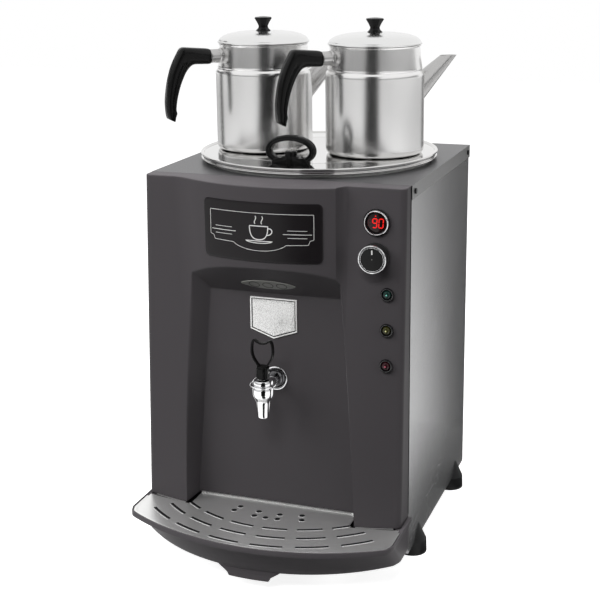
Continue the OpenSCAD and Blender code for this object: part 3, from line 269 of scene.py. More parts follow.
def finish(name, colour, second, rough, metallic=0.0, scale=300.0, stretch=(1, 1, 1), coords="Object", bump=0.0,
           bumpScale=None, smudge=0.04, smudgeScale=9.0, spec=0.5, litSideColour=None):
    # colour and second colour mixed by grain, roughness between two values plus wiped patches, fine bump
    mat, tree, bsdf = plainMaterial(name, {"Metallic": metallic, "Specular IOR Level": spec})
    place = addNode(tree, "TexCoord")
    mapping = addNode(tree, "Mapping", {"Scale": stretch})
    grain = addNode(tree, "Group", {"Scale": scale, "Low": rough[0], "High": rough[1]}, node_tree=grainGroup)
    wiped = addNode(tree, "Group", {"Scale": smudgeScale, "Amount": smudge}, node_tree=smudgeGroup)
    tone = addNode(tree, "Mix", data_type="RGBA")
    tone.inputs["A"].default_value, tone.inputs["B"].default_value = (*colour, 1), (*second, 1)
    wire(tree, (place, coords, mapping, "Vector"), (mapping, "Vector", grain, "Vector"),
         (place, "Object", wiped, "Vector"), (grain, "Mask", wiped, "Fine"), (wiped, "Value", bsdf, "Roughness"),
         (grain, "Height", tone, "Factor"), (tone, "Result", bsdf, "Base Color"))
    if litSideColour:  # painted light: faces turned towards +X, the right, take this lighter colour, chosen by the normal's x
        facing, apart = addNode(tree, "NewGeometry"), addNode(tree, "SeparateXYZ")
        turned = addNode(tree, "MapRange", {"From Min": 0.4, "From Max": 0.9})
        sides = addNode(tree, "Mix", data_type="RGBA")
        sides.inputs["B"].default_value = (*litSideColour, 1)
        wire(tree, (facing, "Normal", apart, "Vector"), (apart, "X", turned, "Value"),
             (turned, "Result", sides, "Factor"), (tone, "Result", sides, "A"),
             (sides, "Result", bsdf, "Base Color"))
    if bump:
        fine = addNode(tree, "Group", {"Scale": bumpScale or scale}, node_tree=grainGroup)
        dent = addNode(tree, "Bump", {"Strength": bump, "Distance": bumpHeight})
        wire(tree, (mapping, "Vector", fine, "Vector"), (fine, "Height", dent, "Height"),
             (dent, "Normal", bsdf, "Normal"))
    return mat


anthracite = finish("mouldedAnthracite", (0.068, 0.063, 0.067), (0.075, 0.069, 0.074), (0.40, 0.48), scale=900,
                    bump=0.10, bumpScale=1600, smudge=0.05, spec=0.10)
# tray: the panel's anthracite made lighter, painted light standing in for the light on its skirt and tab
trayPaintedLightGrey = finish("trayAnthracitePaintedLight", (0.098, 0.091, 0.098), (0.108, 0.100, 0.107), (0.40, 0.48), scale=900,
                  bump=0.10, bumpScale=1600, smudge=0.05, spec=0.10)
blackMatt = finish("satinBlackPlastic", (0.006, 0.006, 0.0065), (0.010, 0.010, 0.011), (0.30, 0.40), scale=700,
                   bump=0.12, bumpScale=1500, smudge=0.06, spec=0.18)
blackGloss = finish("glossBlackPlastic", (0.005, 0.005, 0.006), (0.008, 0.008, 0.009), (0.12, 0.18), scale=300,
                    smudge=0.05, spec=0.2)
feltedRubber = finish("footRubber", (0.008, 0.008, 0.009), (0.013, 0.013, 0.013), (0.42, 0.55), scale=500,
                      bump=0.2, bumpScale=900, spec=0.25)
sheetGrey = finish("satinGreySheet", (0.47, 0.47, 0.475), (0.49, 0.49, 0.495), (0.25, 0.27), metallic=0.96,
                   scale=40, stretch=(1, 1, 22), smudge=0.03)
# cover sheet coloured by its normal: dark on top and on the left, light grey on the flange facing +X; the
# difference is painted light and shade
coverSheetLitShaded = finish("coverSheetPaintedLightShade", (0.076, 0.075, 0.078), (0.088, 0.087, 0.091), (0.34, 0.42), metallic=0.55,
                   scale=500, smudge=0.06, bump=0.05, bumpScale=1200, litSideColour=(0.34, 0.34, 0.34))
potSteel = finish("spunPotSteel", (0.83, 0.825, 0.82), (0.87, 0.865, 0.86), (0.235, 0.25), metallic=1.0, scale=1.0,
                  stretch=(2, 240, 1), coords="UV", smudge=0.015, smudgeScale=10)
lidSteel = finish("mirrorLidSteel", (0.66, 0.655, 0.645), (0.74, 0.735, 0.73), (0.05, 0.10), metallic=1.0,
                  scale=1.0, stretch=(3, 1200, 1), coords="UV", smudge=0.03, smudgeScale=12)
grilleSteel = finish("brushedGrilleSteel", (0.90, 0.90, 0.89), (0.97, 0.97, 0.96), (0.30, 0.37), metallic=0.86,
                     scale=60, stretch=(1, 16, 16), smudge=0.06, bump=0.02)
innerSteel = finish("millSteel", (0.50, 0.50, 0.50), (0.60, 0.60, 0.59), (0.28, 0.40), metallic=1.0, scale=60,
                    stretch=(1, 1, 12), smudge=0.08)
chrome = finish("brightChrome", (0.78, 0.78, 0.79), (0.84, 0.84, 0.85), (0.03, 0.07), metallic=1.0, scale=120,
                smudge=0.03)
hammered = finish("hammeredSilver", (0.42, 0.42, 0.415), (1.0, 1.0, 0.99), (0.22, 0.34), metallic=0.45, scale=560,
                  smudge=0.04, bump=0.6, bumpScale=560)
silverEdge = finish("silverEdge", (0.90, 0.90, 0.89), (0.97, 0.97, 0.96), (0.15, 0.22), metallic=0.5, scale=200)
loopBlack = finish("loopBlack", (0.003, 0.003, 0.003), (0.005, 0.005, 0.005), (0.20, 0.28), scale=500, spec=0.12)
# chrome made dark: painted reflection of the dark surroundings that the tap flange's cone faces
chromePaintedDark = finish("chromePaintedDarkReflection", (0.10, 0.10, 0.105), (0.14, 0.14, 0.145), (0.05, 0.09), metallic=1.0, scale=120,
                    smudge=0.03)
dimSteel = finish("dimSteel", (0.10, 0.10, 0.10), (0.14, 0.14, 0.14), (0.25, 0.32), metallic=1.0, scale=300)
silicone = finish("whiteSilicone", (0.70, 0.70, 0.68), (0.78, 0.78, 0.76), (0.45, 0.55), scale=200)
felt = finish("glassFelt", (0.62, 0.57, 0.42), (0.74, 0.70, 0.56), (0.8, 0.95), scale=350, bump=0.6, bumpScale=500)
ceramicWhite = finish("glazedCeramic", (0.72, 0.69, 0.62), (0.78, 0.75, 0.68), (0.3, 0.4), scale=160)
boardGreen = finish("boardLacquer", (0.02, 0.13, 0.05), (0.03, 0.17, 0.07), (0.25, 0.35), scale=400)
copperTube = finish("capillaryCopper", (0.62, 0.30, 0.17), (0.72, 0.38, 0.22), (0.2, 0.3), metallic=1.0, scale=200)
whiteMark = finish("printedWhite", (0.80, 0.80, 0.79), (0.86, 0.86, 0.85), (0.4, 0.5), scale=500)

handleBlack = finish("handleBakelite", (0.004, 0.004, 0.004), (0.006, 0.006, 0.006), (0.20, 0.27), scale=600,
                     bump=0.03, bumpScale=1300, smudge=0.05, spec=0.17)
bowBlack = finish("polishedBakelite", (0.004, 0.004, 0.004), (0.006, 0.006, 0.006), (0.06, 0.09), scale=600,
                  smudge=0.03, spec=0.16)
knobBlack = finish("knobBlack", (0.010, 0.010, 0.010), (0.016, 0.016, 0.016), (0.28, 0.36), scale=800, bump=0.08,
                   bumpScale=1500, spec=0.18)
plateBlack = finish("plateBlack", (0.008, 0.007, 0.008), (0.012, 0.010, 0.011), (0.30, 0.38), scale=300,
                    smudge=0.05, spec=0.2)
coverSteel = finish("domedCoverSteel", (0.76, 0.76, 0.755), (0.82, 0.82, 0.815), (0.20, 0.25), metallic=1.0,
                    scale=1.0, stretch=(2, 130, 1), coords="UV", smudge=0.04, smudgeScale=14)
# the pot's steel made darker for spouts and ferrules: painted shade that tones down their reflections
spoutSteelPaintedShade = finish("spoutSteelPaintedShade", (0.48, 0.475, 0.47), (0.52, 0.515, 0.51), (0.26, 0.29), metallic=1.0, scale=30,
                    smudge=0.05)


def glow(name, colour, emission, strength, rough=0.15):  # coloured lens or segment with its own light
    mat = finish(name, colour, tuple(c * 1.2 for c in colour), (rough, rough + 0.06), scale=300, smudge=0.02,
                 spec=0.3)
    bsdf = mat.node_tree.nodes["Principled BSDF"]
    bsdf.inputs["Emission Color"].default_value = (*emission, 1)
    bsdf.inputs["Emission Strength"].default_value = strength
    return mat


greenLens = glow("greenLens", (0.006, 0.022, 0.018), (0.06, 0.40, 0.30), 0.006)
amberLens = glow("amberLens", (0.026, 0.026, 0.006), (0.45, 0.42, 0.08), 0.006)
redLens = glow("redLens", (0.022, 0.005, 0.007), (0.50, 0.05, 0.07), 0.006)
greenSpark = glow("greenSpark", (0.2, 0.6, 0.5), (0.16, 0.50, 0.43), 0.30)
amberSpark = glow("amberSpark", (0.6, 0.6, 0.3), (0.50, 0.50, 0.18), 0.30)
redSpark = glow("redSpark", (0.5, 0.1, 0.15), (0.45, 0.12, 0.16), 0.22)
digitRed = glow("digitRed", (0.35, 0.004, 0.003), (1.0, 0.012, 0.008), 0.75)
digitGhost = glow("digitGhost", (0.045, 0.012, 0.012), (0.2, 0.01, 0.008), 0.05)
windowDark = finish("darkWindow", (0.010, 0.004, 0.004), (0.016, 0.006, 0.006), (0.05, 0.09), scale=200,
                    smudge=0.02, spec=0.25)
frosted = finish("frostedLens", (0.20, 0.20, 0.19), (0.30, 0.30, 0.28), (0.35, 0.5), scale=260, bump=0.3,
                 bumpScale=700, spec=0.3)
print("finishes made:", len(bpy.data.materials))


# camera, floor and light

cameraSet = {"place": (0.61087, -1.70284, 0.87465), "yaw": 20.1495, "pitch": 13.4553, "roll": -0.6881,
             "lens": 76.385, "sensor": 36, "shift": (0.00897, -0.10008), "far": 50}


def setAxes(obj, x, y, z, place):  # links an object with these axes of its own at a place
    m = np.eye(4)
    m[:3, 0], m[:3, 1], m[:3, 2], m[:3, 3] = x, y, z, place
    obj.matrix_world = Matrix(m.tolist())
    scene.collection.objects.link(obj)


def makeCamera():  # axes from yaw about Z, pitch down and roll, as the photo was taken
    yaw, pitch, roll = (math.radians(cameraSet[k]) for k in ("yaw", "pitch", "roll"))
    ahead = np.array([-math.sin(yaw), math.cos(yaw), 0])
    right = np.array([math.cos(yaw), math.sin(yaw), 0])
    up = np.array([0, 0, 1.0])
    forward = ahead * math.cos(pitch) - up * math.sin(pitch)
    lift = up * math.cos(pitch) + ahead * math.sin(pitch)
    data = bpy.data.cameras.new("photoCamera")
    data.lens, data.sensor_width, data.clip_end = (cameraSet[k] for k in ("lens", "sensor", "far"))
    data.shift_x, data.shift_y = cameraSet["shift"]
    scene.camera = bpy.data.objects.new("photoCamera", data)
    setAxes(scene.camera, right * math.cos(roll) + lift * math.sin(roll),
            lift * math.cos(roll) - right * math.sin(roll), -forward, cameraSet["place"])


def seenRays(tree):  # 1 for camera, mirror and glass rays, 0 for the rays that light the object
    path = addNode(tree, "LightPath")
    first, second = addNode(tree, "Math", operation="MAXIMUM"), addNode(tree, "Math", operation="MAXIMUM")
    wire(tree, (path, "Is Camera Ray", first, 0), (path, "Is Glossy Ray", first, 1), (first, 0, second, 0),
         (path, "Is Transmission Ray", second, 1))
    return second


lightSet = {"worldLit": 0.07, "worldSeen": 1.0, "floorGrey": 0.80, "floorGlow": 0.86, "floorMirror": 0.42,
            "floorBounce": 0.10, "floorNear": 0.45, "floorFar": 1.2,
            "lamps": [  # name, place, aimed at, width, height, watts
                ("leftWindow", (-1.5, -1.5, 1.9), (0, 0, 0.4), 1.6, 1.6, 38),
                ("rightWindow", (2.2, -0.55, 1.2), (0, 0, 0.35), 1.0, 1.8, 12),
                ("topWindow", (0.0, 0.2, 2.3), (0, 0, 0.5), 1.8, 1.4, 42),
                ("frontWindow", (0.1, -2.1, 2.35), (0, 0, 0.25), 1.2, 0.7, 34)],
            "cards": [  # upright, only mirror rays see them: name, two foot points, bottom, top, grey, own light
                ("cameraFlag", (0.035, -0.615), (0.360, -0.510), 0.14, 1.45, 0.02, 0),
                ("tapFlag", (-0.02, -0.77), (0.42, -0.60), 0.004, 0.46, 0.02, 0),
                ("frontBand", (-3.0, -3.3), (3.0, -3.3), 0.72, 1.5, 0.75, 0),
                ("leftBand", (-3.0, -3.3), (-3.0, 3.0), 0.72, 1.5, 0.75, 0),
                ("rightBand", (3.0, -3.3), (3.0, 3.0), 0.72, 1.5, 0.75, 0),
                ("leftFlag", (-1.62, 0.18), (-1.56, 0.52), -0.1, 1.5, 0.03, 0),
                ("rearFlag", (0.20, 0.44), (0.315, 0.44), 0.0, 0.66, 0.17, 0),
                ("tapLeftCard", (-0.095, -0.1225), (-0.022, -0.1225), 0.215, 0.292, 0.8, 0.8),
                ("tapRightCard", (0.026, -0.1225), (0.095, -0.1225), 0.215, 0.292, 0.8, 0.8)],
            "mats": [  # dark cards on the floor, seen in the same way: name, four plan points, grey
                ("tapFloorFlag", [(0.05, -0.36), (0.22, -0.30), (0.36, -0.62), (0.02, -0.75)], 0.02),
                ("sideFloorFlag", [(0.195, -0.06), (0.25, -0.06), (0.33, 0.44), (0.195, 0.44)], 0.13)],
            "matHeight": 0.003}


def flatCard(name, corners, mat):  # one flat face between four points
    mesh = bpy.data.meshes.new(name)
    mesh.from_pydata(corners, [], [(0, 1, 2, 3)])
    mesh.materials.append(mat)
    obj = bpy.data.objects.new(name, mesh)
    scene.collection.objects.link(obj)
    return obj


def makeWorld():
    scene.world = bpy.data.worlds.new("studio")
    scene.world.use_nodes = True
    tree = scene.world.node_tree
    back = tree.nodes["Background"]
    back.inputs["Color"].default_value = (1, 1, 1, 1)
    level = addNode(tree, "MapRange", {"To Min": lightSet["worldLit"], "To Max": lightSet["worldSeen"]})
    wire(tree, (seenRays(tree), 0, level, "Value"), (level, "Result", back, "Strength"))


def makeFloor():  # pale, seen a little grey near the object and white far off, darker to mirror and bounced rays
    mat, tree, bsdf = plainMaterial("paleFloor", {"Roughness": 0.9, "Specular IOR Level": 0.0,
                                                  "Emission Color": (1, 1, 1, 1)})
    path, place = addNode(tree, "LightPath"), addNode(tree, "TexCoord")
    shade = addNode(tree, "Mix", data_type="RGBA")
    shade.inputs["A"].default_value = (*[lightSet["floorGrey"]] * 3, 1)
    shade.inputs["B"].default_value = (*[lightSet["floorBounce"]] * 3, 1)
    away = addNode(tree, "VectorMath", operation="LENGTH")
    near = addNode(tree, "MapRange", {"From Min": lightSet["floorNear"], "From Max": lightSet["floorFar"],
                                      "To Min": lightSet["floorGlow"], "To Max": 1.0})
    direct = addNode(tree, "MapRange", {"To Min": lightSet["floorMirror"]})
    level = addNode(tree, "Math", operation="MULTIPLY")
    wire(tree, (path, "Is Diffuse Ray", shade, "Factor"), (shade, "Result", bsdf, "Base Color"),
         (place, "Object", away, 0), (away, "Value", near, "Value"), (near, "Result", direct, "To Max"),
         (path, "Is Camera Ray", direct, "Value"), (seenRays(tree), 0, level, 0), (direct, "Result", level, 1),
         (level, 0, bsdf, "Emission Strength"))
    flatCard("floor", [(-6, -6, 0), (6, -6, 0), (6, 6, 0), (-6, 6, 0)], mat)


def makeLights():
    for name, place, target, w, h, watts in lightSet["lamps"]:
        data = bpy.data.lights.new(name, "AREA")
        data.shape = "RECTANGLE"
        data.size, data.size_y, data.energy = w, h, watts
        lamp = bpy.data.objects.new(name, data)
        lamp.visible_glossy = False
        d = np.asarray(place, float) - np.asarray(target, float)
        d /= np.linalg.norm(d)
        x = np.cross([0, 0, 1.0] if abs(d[2]) < 0.99 else [0, 1.0, 0], d)
        x /= np.linalg.norm(x)
        setAxes(lamp, x, np.cross(d, x), d, place)
    cards = [(name, [(*a, low), (*b, low), (*b, high), (*a, high)], grey, light)
             for name, a, b, low, high, grey, light in lightSet["cards"]]
    cards += [(name, [(*q, lightSet["matHeight"]) for q in plan], grey, 0) for name, plan, grey in lightSet["mats"]]
    for name, corners, grey, light in cards:
        mat, _, _ = plainMaterial(name, {"Base Color": (grey, grey, grey, 1), "Roughness": 1.0,
                "Specular IOR Level": 0.0, "Emission Color": (1, 1, 1, 1), "Emission Strength": light})
        card = flatCard(name, corners, mat)
        card.visible_camera = card.visible_diffuse = card.visible_shadow = False
        card.visible_transmission = card.visible_volume_scatter = False


scene.view_settings.view_transform = "Standard"
makeCamera()
makeWorld()
makeFloor()
makeLights()
print("camera, floor and light set")


# front panel: one sheet y(x, z) with bowed strips, bulged head and tap recess

yb, yl = -102.5, 72.5  # front of the casing's sheet, and the boiler's axis
panel = {"z0": 82.8, "z1": 548.0, "foot": 79.9, "cap": 551.9, "half": 188.6, "corner": 9.0, "topRound": 1.6,
         "stripLow": 41.0, "stripTop": 26.0, "crown": 26.0, "crease": 98.0, "bulgeR": 250.0, "bulge": 65.0,
         "bulgeEnd": 240, "step": 13.0, "stepPower": 2.1, "bulgeSoft": 9, "wall": 18.0, "wallTop": 393.0,
         "low": 123.0, "high": 96.6, "flare": {-1: (0.132, 1.05), 1: (0.087, 0.375)}, "flareZ": (95.0, 407.0),
         "ceiling": (0.995, 0.27), "cornerSoft": 3.5, "wallSoft": 1.4, "rimSoft": (1.6, 1.8), "rimZ": (30, 60),
         "blendZ": (380, 60), "arcZ": (438, 40), "rowStops": (380, 400, 446, 470), "rowSteps": (90, 30, 90, 26, 34),
         "spill": (1.2, 4.2), "spillX": (150.0, 36.0), "seamX": (188.2, 189.2), "seamY": (-104.2, -102.6),
         "seamZ": (84.0, 549.5)}


def stripFace(x, z):  # flat leaning strips with a crown that dies out towards the top
    up = (z - panel["z0"]) / (panel["z1"] - panel["z0"])
    strip = panel["stripLow"] + (panel["stripTop"] - panel["stripLow"]) * up
    return yb - strip - panel["crown"] * (1 - up) * (1 - (x / panel["half"]) ** 2)


def bulgeFace(x):  # circle of radius bulgeR whose front stands bulge before the sheet
    x = np.minimum(np.abs(x), panel["bulgeEnd"])
    return yb - panel["bulge"] + panel["bulgeR"] - np.sqrt(panel["bulgeR"] ** 2 - x ** 2)


def outerFace(x, z):
    # bulge up to the crease, then a hollow step down to the strip; on the left it runs out into the strip
    ax = np.abs(x)
    face = stripFace(x, z)
    crease = bulgeFace(panel["crease"])
    s = np.clip((ax - panel["crease"]) / panel["step"], 0, 1)
    hollow = face + (crease - face) * (1 - s) ** panel["stepPower"]
    right = np.where(ax < panel["crease"], bulgeFace(x), hollow)
    return np.where(x < 0, softMin(bulgeFace(x), face, panel["bulgeSoft"]), right)


def backHalf(z):  # half width of the recess's back wall
    t = (z - panel["z0"] + 1) / (panel["wallTop"] - panel["z0"] + 1)
    return panel["low"] + (panel["high"] - panel["low"]) * t


def flareAt(z, side):  # how far a recess side leans out for each millimetre it comes forward
    (low, high), (z0, z1) = panel["flare"][side], panel["flareZ"]
    return low + (high - low) * np.clip((z - z0) / (z1 - z0), -0.05, 1.15)


def ceilingSlope(x):  # rise of the recess's ceiling for each millimetre it comes forward, steeper at the sides
    middle, more = panel["ceiling"]
    return middle + more * np.minimum(np.abs(x) / panel["crease"], 1.15) ** 2


def recessFace(x, z):  # back wall, flared sides and sloping ceiling of the recess, eased into each other
    wall = yb - panel["wall"]
    lean = np.where(x < 0, flareAt(z, -1), flareAt(z, 1))
    side = wall - (np.abs(x) - backHalf(z)) / lean
    ceiling = wall - (z - panel["wallTop"]) / ceilingSlope(x)
    return softMin(softMin(side, ceiling, panel["cornerSoft"]), wall + 0 * x, panel["wallSoft"])


def recessEdge(z, side):  # half width of the recess where its side meets the outer face
    x = np.full_like(z, 112.0)
    for _ in range(6):
        x = backHalf(z) + flareAt(z, side) * (yb - panel["wall"] - outerFace(side * x, z))
    return x


def makeFrontPanel():
    p = panel
    zRows = spread([p["foot"], *p["rowStops"], p["cap"] - p["topRound"]], p["rowSteps"])
    flat = p["half"] - p["corner"]
    start, run = p["blendZ"]
    blend = smoothStep((zRows - start) / run)

    def columns(side):  # steps that crowd at the recess's inner and outer side edges
        zc = np.minimum(zRows, p["wallTop"] + 8)
        back = backHalf(zc)
        back = back + (p["crease"] - 2 - back) * blend
        edge = recessEdge(zc, side)
        edge = edge + (p["crease"] + p["step"] - edge) * blend
        steps = [(0, back - 10, 34), (back - 10, back + 2, 20), (back + 2, edge - 3, 24), (edge - 3, edge + 6, 22),
                 (edge + 6, edge + 16, 12), (edge + 16, flat, 22)]
        cols = [a + (b - a) * np.linspace(0, 1, n, endpoint=False)[:, None] for a, b, n in steps]
        return np.concatenate(cols + [np.full((1, len(zRows)), flat)]).T

    x = np.concatenate([-columns(-1)[:, :0:-1], columns(1)], 1)
    z = np.broadcast_to(zRows[:, None], x.shape).copy()
    # rows near the recess's upper edge follow its arc
    start, run = p["arcZ"]
    reach = np.clip(x, -p["crease"] - 8, p["crease"])
    ceilEdge = p["wallTop"] + ceilingSlope(reach) * (yb - p["wall"] - bulgeFace(reach))
    z = z + (ceilEdge - ceilEdge.max()) * np.clip(1 - np.abs(z - start) / run, 0, 1)
    outer = outerFace(x, z)
    (least, more), (start, run) = p["rimSoft"], p["rimZ"]
    ease = least + more * smoothStep((p["wallTop"] + start - z) / run)
    y = softMax(outer, recessFace(x, z), ease)
    y = np.where(z > p["rowStops"][-1], outer, y)
    rows = xyz(x, y, z)
    # rounded upright corners and the sides back to the casing
    a = np.radians(np.linspace(0, 90, 9))[1:]
    yc = y[:, -1:] + p["corner"]
    right = xyz(flat + p["corner"] * np.sin(a), yc - p["corner"] * np.cos(a), z[:, -1:])
    sideY = yc + (yb - yc) * np.linspace(0, 1, 8)[1:]
    right = np.concatenate([right, xyz(p["half"], sideY, z[:, -1:])], 1)
    left = right[:, ::-1] * np.array([-1, 1, 1])
    grid = np.concatenate([left, rows, right], 1)
    # the left edge spills outwards, more towards the foot
    high, low = p["spill"]
    spill = high + (low - high) * (p["cap"] - grid[..., 2]) / (p["cap"] - p["foot"])
    start, run = p["spillX"]
    grid[..., 0] -= spill * smoothStep((-grid[..., 0] - start) / run)
    p["footLine"] = rows[0][:, :2]
    # rounded top edge, then the flat top back to the casing; below it the foot and the hidden back
    last = grid[-1]
    inward = -np.sign(last[:, 0]) * (np.abs(last[:, 0]) > flat) * np.clip((yb - last[:, 1]) / 8, 0, 1) * 0.5
    arcs = []
    for ang in np.radians(np.linspace(0, 90, 7))[1:]:
        back = p["topRound"] * (1 - np.cos(ang))
        arcs.append(xyz(last[:, 0] + inward * back, np.minimum(last[:, 1] + back, yb),
                        last[:, 2] + p["topRound"] * np.sin(ang)))
    top = arcs[-1]
    tops = [top + (xyz(top[:, 0], yb, top[:, 2]) - top) * s for s in (0.3, 0.65, 1.0)]
    foot = xyz(grid[0][:, 0], yb, grid[0][:, 2])
    backRows = [tops[-1] + (foot - tops[-1]) * s for s in (0.5, 1.0)]
    grid = np.concatenate([grid, np.stack(arcs + tops + backRows), grid[:1]])
    piece("frontPanel", grid, anthracite, "casing", "front_panel", sharp=50)
    (x0, x1), (y0, y1) = p["seamX"], p["seamY"]
    plan = np.array([(x0, y0), (x1, y0), (x1, y1), (x0, y1), (x0, y0)])
    seam = [xyz(plan[:, 0], plan[:, 1], z) for z in p["seamZ"]]
    piece("panelSeam", ringStack(seam), blackMatt, "casing", None, 30)


makeFrontPanel()
print("front panel made")


# pots: turned bodies, domed covers, cut-off spouts and hooked handles

pot = {"places": {"left": -86.0, "right": 86.0}, "floor": 564.1, "turn": 42.0, "r": 71.7, "t": 0.9,
       "neck": 65.0, "lidEdge": 157.1, "dome": 174.0, "spoutLow": 92.0, "spoutTop": 136.0,
       "spoutR": 17.0, "spoutTipR": 8.4, "spoutRun": 50.3, "grip": 140.0}


def potAxes():  # spout direction, sideways and up for a pot turned about its own axis
    a = math.radians(pot["turn"])
    out = np.array([math.cos(a), math.sin(a), 0])
    return out, np.array([-out[1], out[0], 0]), np.array([0, 0, 1.0])


def potProfile():  # wall outside from the middle of the floor to the rolled rim, then back down inside
    r, t = pot["r"], pot["t"]
    outside = rounded([(0, 0), (r, 0), (r, 113), (r - 0.2, 115), (r - 1.1, 117.8), (r - 2.7, 119.6),
                       (r - 3.5, 121.2), (r - 2.9, 122.6), (r - 3.4, 124.2), (pot["neck"], 154.4), (66.3, 155.1),
                       (66.5, 156.2), (65.6, 157)], [0, 9, 2, 1, 1, 0.8, 0.7, 0.7, 1, 0.5, 0.5, 0.5, 0], 8)
    inside = rounded([(64.3, 157), (64.0, 154), (r - 4.4, 123), (r - 1.8, 116), (r - t, 112), (r - t, t), (0, t)],
                     [0, 1, 2, 2, 2, 8, 0], 8)
    return np.concatenate([outside[:-1], inside])


def coverProfile():  # domed cover with a rolled edge, and the ring that drops into the neck
    e, t = pot["lidEdge"], pot["t"]
    dome = bezier((0, pot["dome"]), (44, pot["dome"] + 0.3), (63.6, e + 12.6), (66.8, e + 3.0), 30)
    edge = rounded([(66.8, e + 3.0), (68.2, e + 2.1), (68.0, e + 0.5), (66.4, e), (61.6, e), (61.6, e - 8),
                    (60.8, e - 8), (60.8, e + 3.4)], 0.7, 5)
    under = bezier((60.8, e + 3.4), (56, e + 8.5), (38, pot["dome"] - t), (0, pot["dome"] - t), 14)
    return np.concatenate([dome[:-1], edge, under[1:]])


def knobProfile():  # flat foot, narrow waist, wide flared head with a low crown
    return rounded([(0, 0), (11.4, 0), (11.3, 1.0), (8.0, 4.0), (7.0, 7.0), (9.3, 12.0), (12.4, 16.8),
                    (13.6, 18.6), (12.8, 20), (5, 21.1), (0, 21.3)],
                   [0, 0.4, 0.6, 2, 2.4, 3, 0.8, 0.7, 1.2, 3, 0], 5) + [0, pot["dome"] - 0.4]


def octagon(t):  # radius factor of eight soft flats
    flat = math.cos(math.pi / 8) / np.cos(np.mod(t, math.pi / 4) - math.pi / 8)
    return 0.25 + 0.75 * flat


def spoutGrid(centre):
    # cone from the wall to a level mouth: each generator runs from the wall's cylinder to the mouth's height,
    # outside first, then back inside
    out, side, up = potAxes()
    t = np.linspace(0, 2 * np.pi, 65)
    length = math.hypot(pot["spoutRun"], pot["spoutTop"] - pot["spoutLow"])
    du, dh = pot["spoutRun"] / length, (pot["spoutTop"] - pot["spoutLow"]) / length

    def at(s, thin):  # out, sideways and up at the share s of the cone's length
        r = pot["spoutR"] + (pot["spoutTipR"] - pot["spoutR"]) * s - thin
        return (pot["r"] + pot["spoutRun"] * s - dh * r * np.sin(t), r * np.cos(t),
                pot["spoutLow"] + (pot["spoutTop"] - pot["spoutLow"]) * s + du * r * np.sin(t))

    def reach(low, high, test):  # where each generator first passes the test, by halving
        low, high = np.full_like(t, low), np.full_like(t, high)
        for _ in range(40):
            mid = (low + high) / 2
            past = test(mid)
            low, high = np.where(past, low, mid), np.where(past, mid, high)
        return (low + high) / 2

    def wall(s):
        return np.hypot(*at(s, 0)[:2]) > pot["r"] - 0.4

    start = reach(-1.0, 0.9, wall)
    mouth = reach(0.0, 1.6, lambda s: at(s, 0)[2] > pot["spoutTop"])
    rows = []
    for k, thin in [(k, 0.0) for k in np.linspace(0, 1, 15)] + [(0.99, 0.45), (0.97, 0.9), (0.6, 0.9), (0.0, 0.9)]:
        rows.append(np.stack(at(start + (mouth - start) * k, thin), -1))
    rows.append(rows[0])
    rows = np.asarray(rows)
    return centre + rows[..., :1] * out + rows[..., 1:2] * side + rows[..., 2:] * up


# half width, rows before and after the bend, then each feature's depth, first row, rows, place across and width
handle = {"half": 10.5, "stub": 18, "hook": 54, "lip": (1.9, 64.5, 2.4), "groove": (0.17, 17, 9, 0.24, 0.085),
          "crown": (0.10, 10, 12, 0.2), "facet": (0.62, 2, 11, 0.35)}


def handleEdge(points, radius, stub, hook):  # eased polyline cut at its first bend, with even steps on both sides
    line = rounded(points, radius, 8)
    cut = int(np.argmin(np.linalg.norm(line - points[1], axis=1)))
    return np.concatenate([evenly(line[:cut + 1], stub), evenly(line[cut:], hook)[1:]])


def handleGrid(centre):
    # outer and inner edge curves paired row by row, each row a rounded section between them with grooved cheeks
    out, side, up = potAxes()
    stub, hook = handle["stub"], handle["hook"]
    outer = handleEdge([(84.3, 151.2), (129, 155.2), (143.6, 129), (150.8, 104), (154, 80), (153.9, 66),
                        (152.2, 52.5)], [0, 5.5, 22, 20, 16, 10, 0], stub, hook)
    inner = handleEdge([(84.3, 128.8), (112.5, 129.6), (121.8, 119.8), (131.0, 100.6), (136.8, 80), (138.8, 66),
                        (140.6, 46.5)], [0, 6, 13, 14, 12, 8, 0], stub, hook)
    k = np.arange(len(outer))
    deep, row, spanned = handle["lip"]
    inner[:, 0] -= deep * np.exp(-((k - row) / spanned) ** 2)
    middle, half = (outer + inner) / 2, (outer - inner) / 2
    section = superOval(1, 1, 3.4, 72)
    a, b = section[:, 0], section[:, 1]
    deep, row, spanned, off, wide = handle["groove"]
    groove = smoothStep((k - row) / spanned)[:, None] * np.exp(-((a[None] + off) / wide) ** 2) * deep
    deep, row, spanned, off = handle["crown"]
    crown = 1 - deep * smoothStep((k - row) / spanned)[:, None] * np.clip(-a[None] - off, 0, 1)
    width = handle["half"] * b[None] * (crown - groove * (np.abs(b[None]) > 0.4))
    deep, row, spanned, off = handle["facet"]
    width = width * (1 - np.clip(1 - (k - row) / spanned, 0, 1)[:, None] * np.clip(a[None] - off, 0, 1) * deep)
    grow = np.ones(len(k))
    grow[:3] = (0.90, 0.965, 0.99)
    grow[-3:] = (0.985, 0.95, 0.86)
    u = middle[:, :1] + a[None] * half[:, :1] * grow[:, None]
    v = middle[:, 1:] + a[None] * half[:, 1:] * grow[:, None]
    grid = centre - u[..., None] * out + (width * grow[:, None])[..., None] * side + v[..., None] * up
    return closeEnds(grid)


def ferruleGrid(centre):
    out, side, up = potAxes()
    profile = rounded([(0, 63.6), (11.3, 63.6), (11.6, 67.6), (10.9, 69.2), (10.0, 70.2), (10.0, 82.6), (9.3, 84.4),
                       (0, 84.4)], [0, 0.4, 0.8, 0.6, 0.6, 0.6, 0.4, 0], 4)
    return lathe(profile, centre + up * pot["grip"], (side, up, -out), 72)


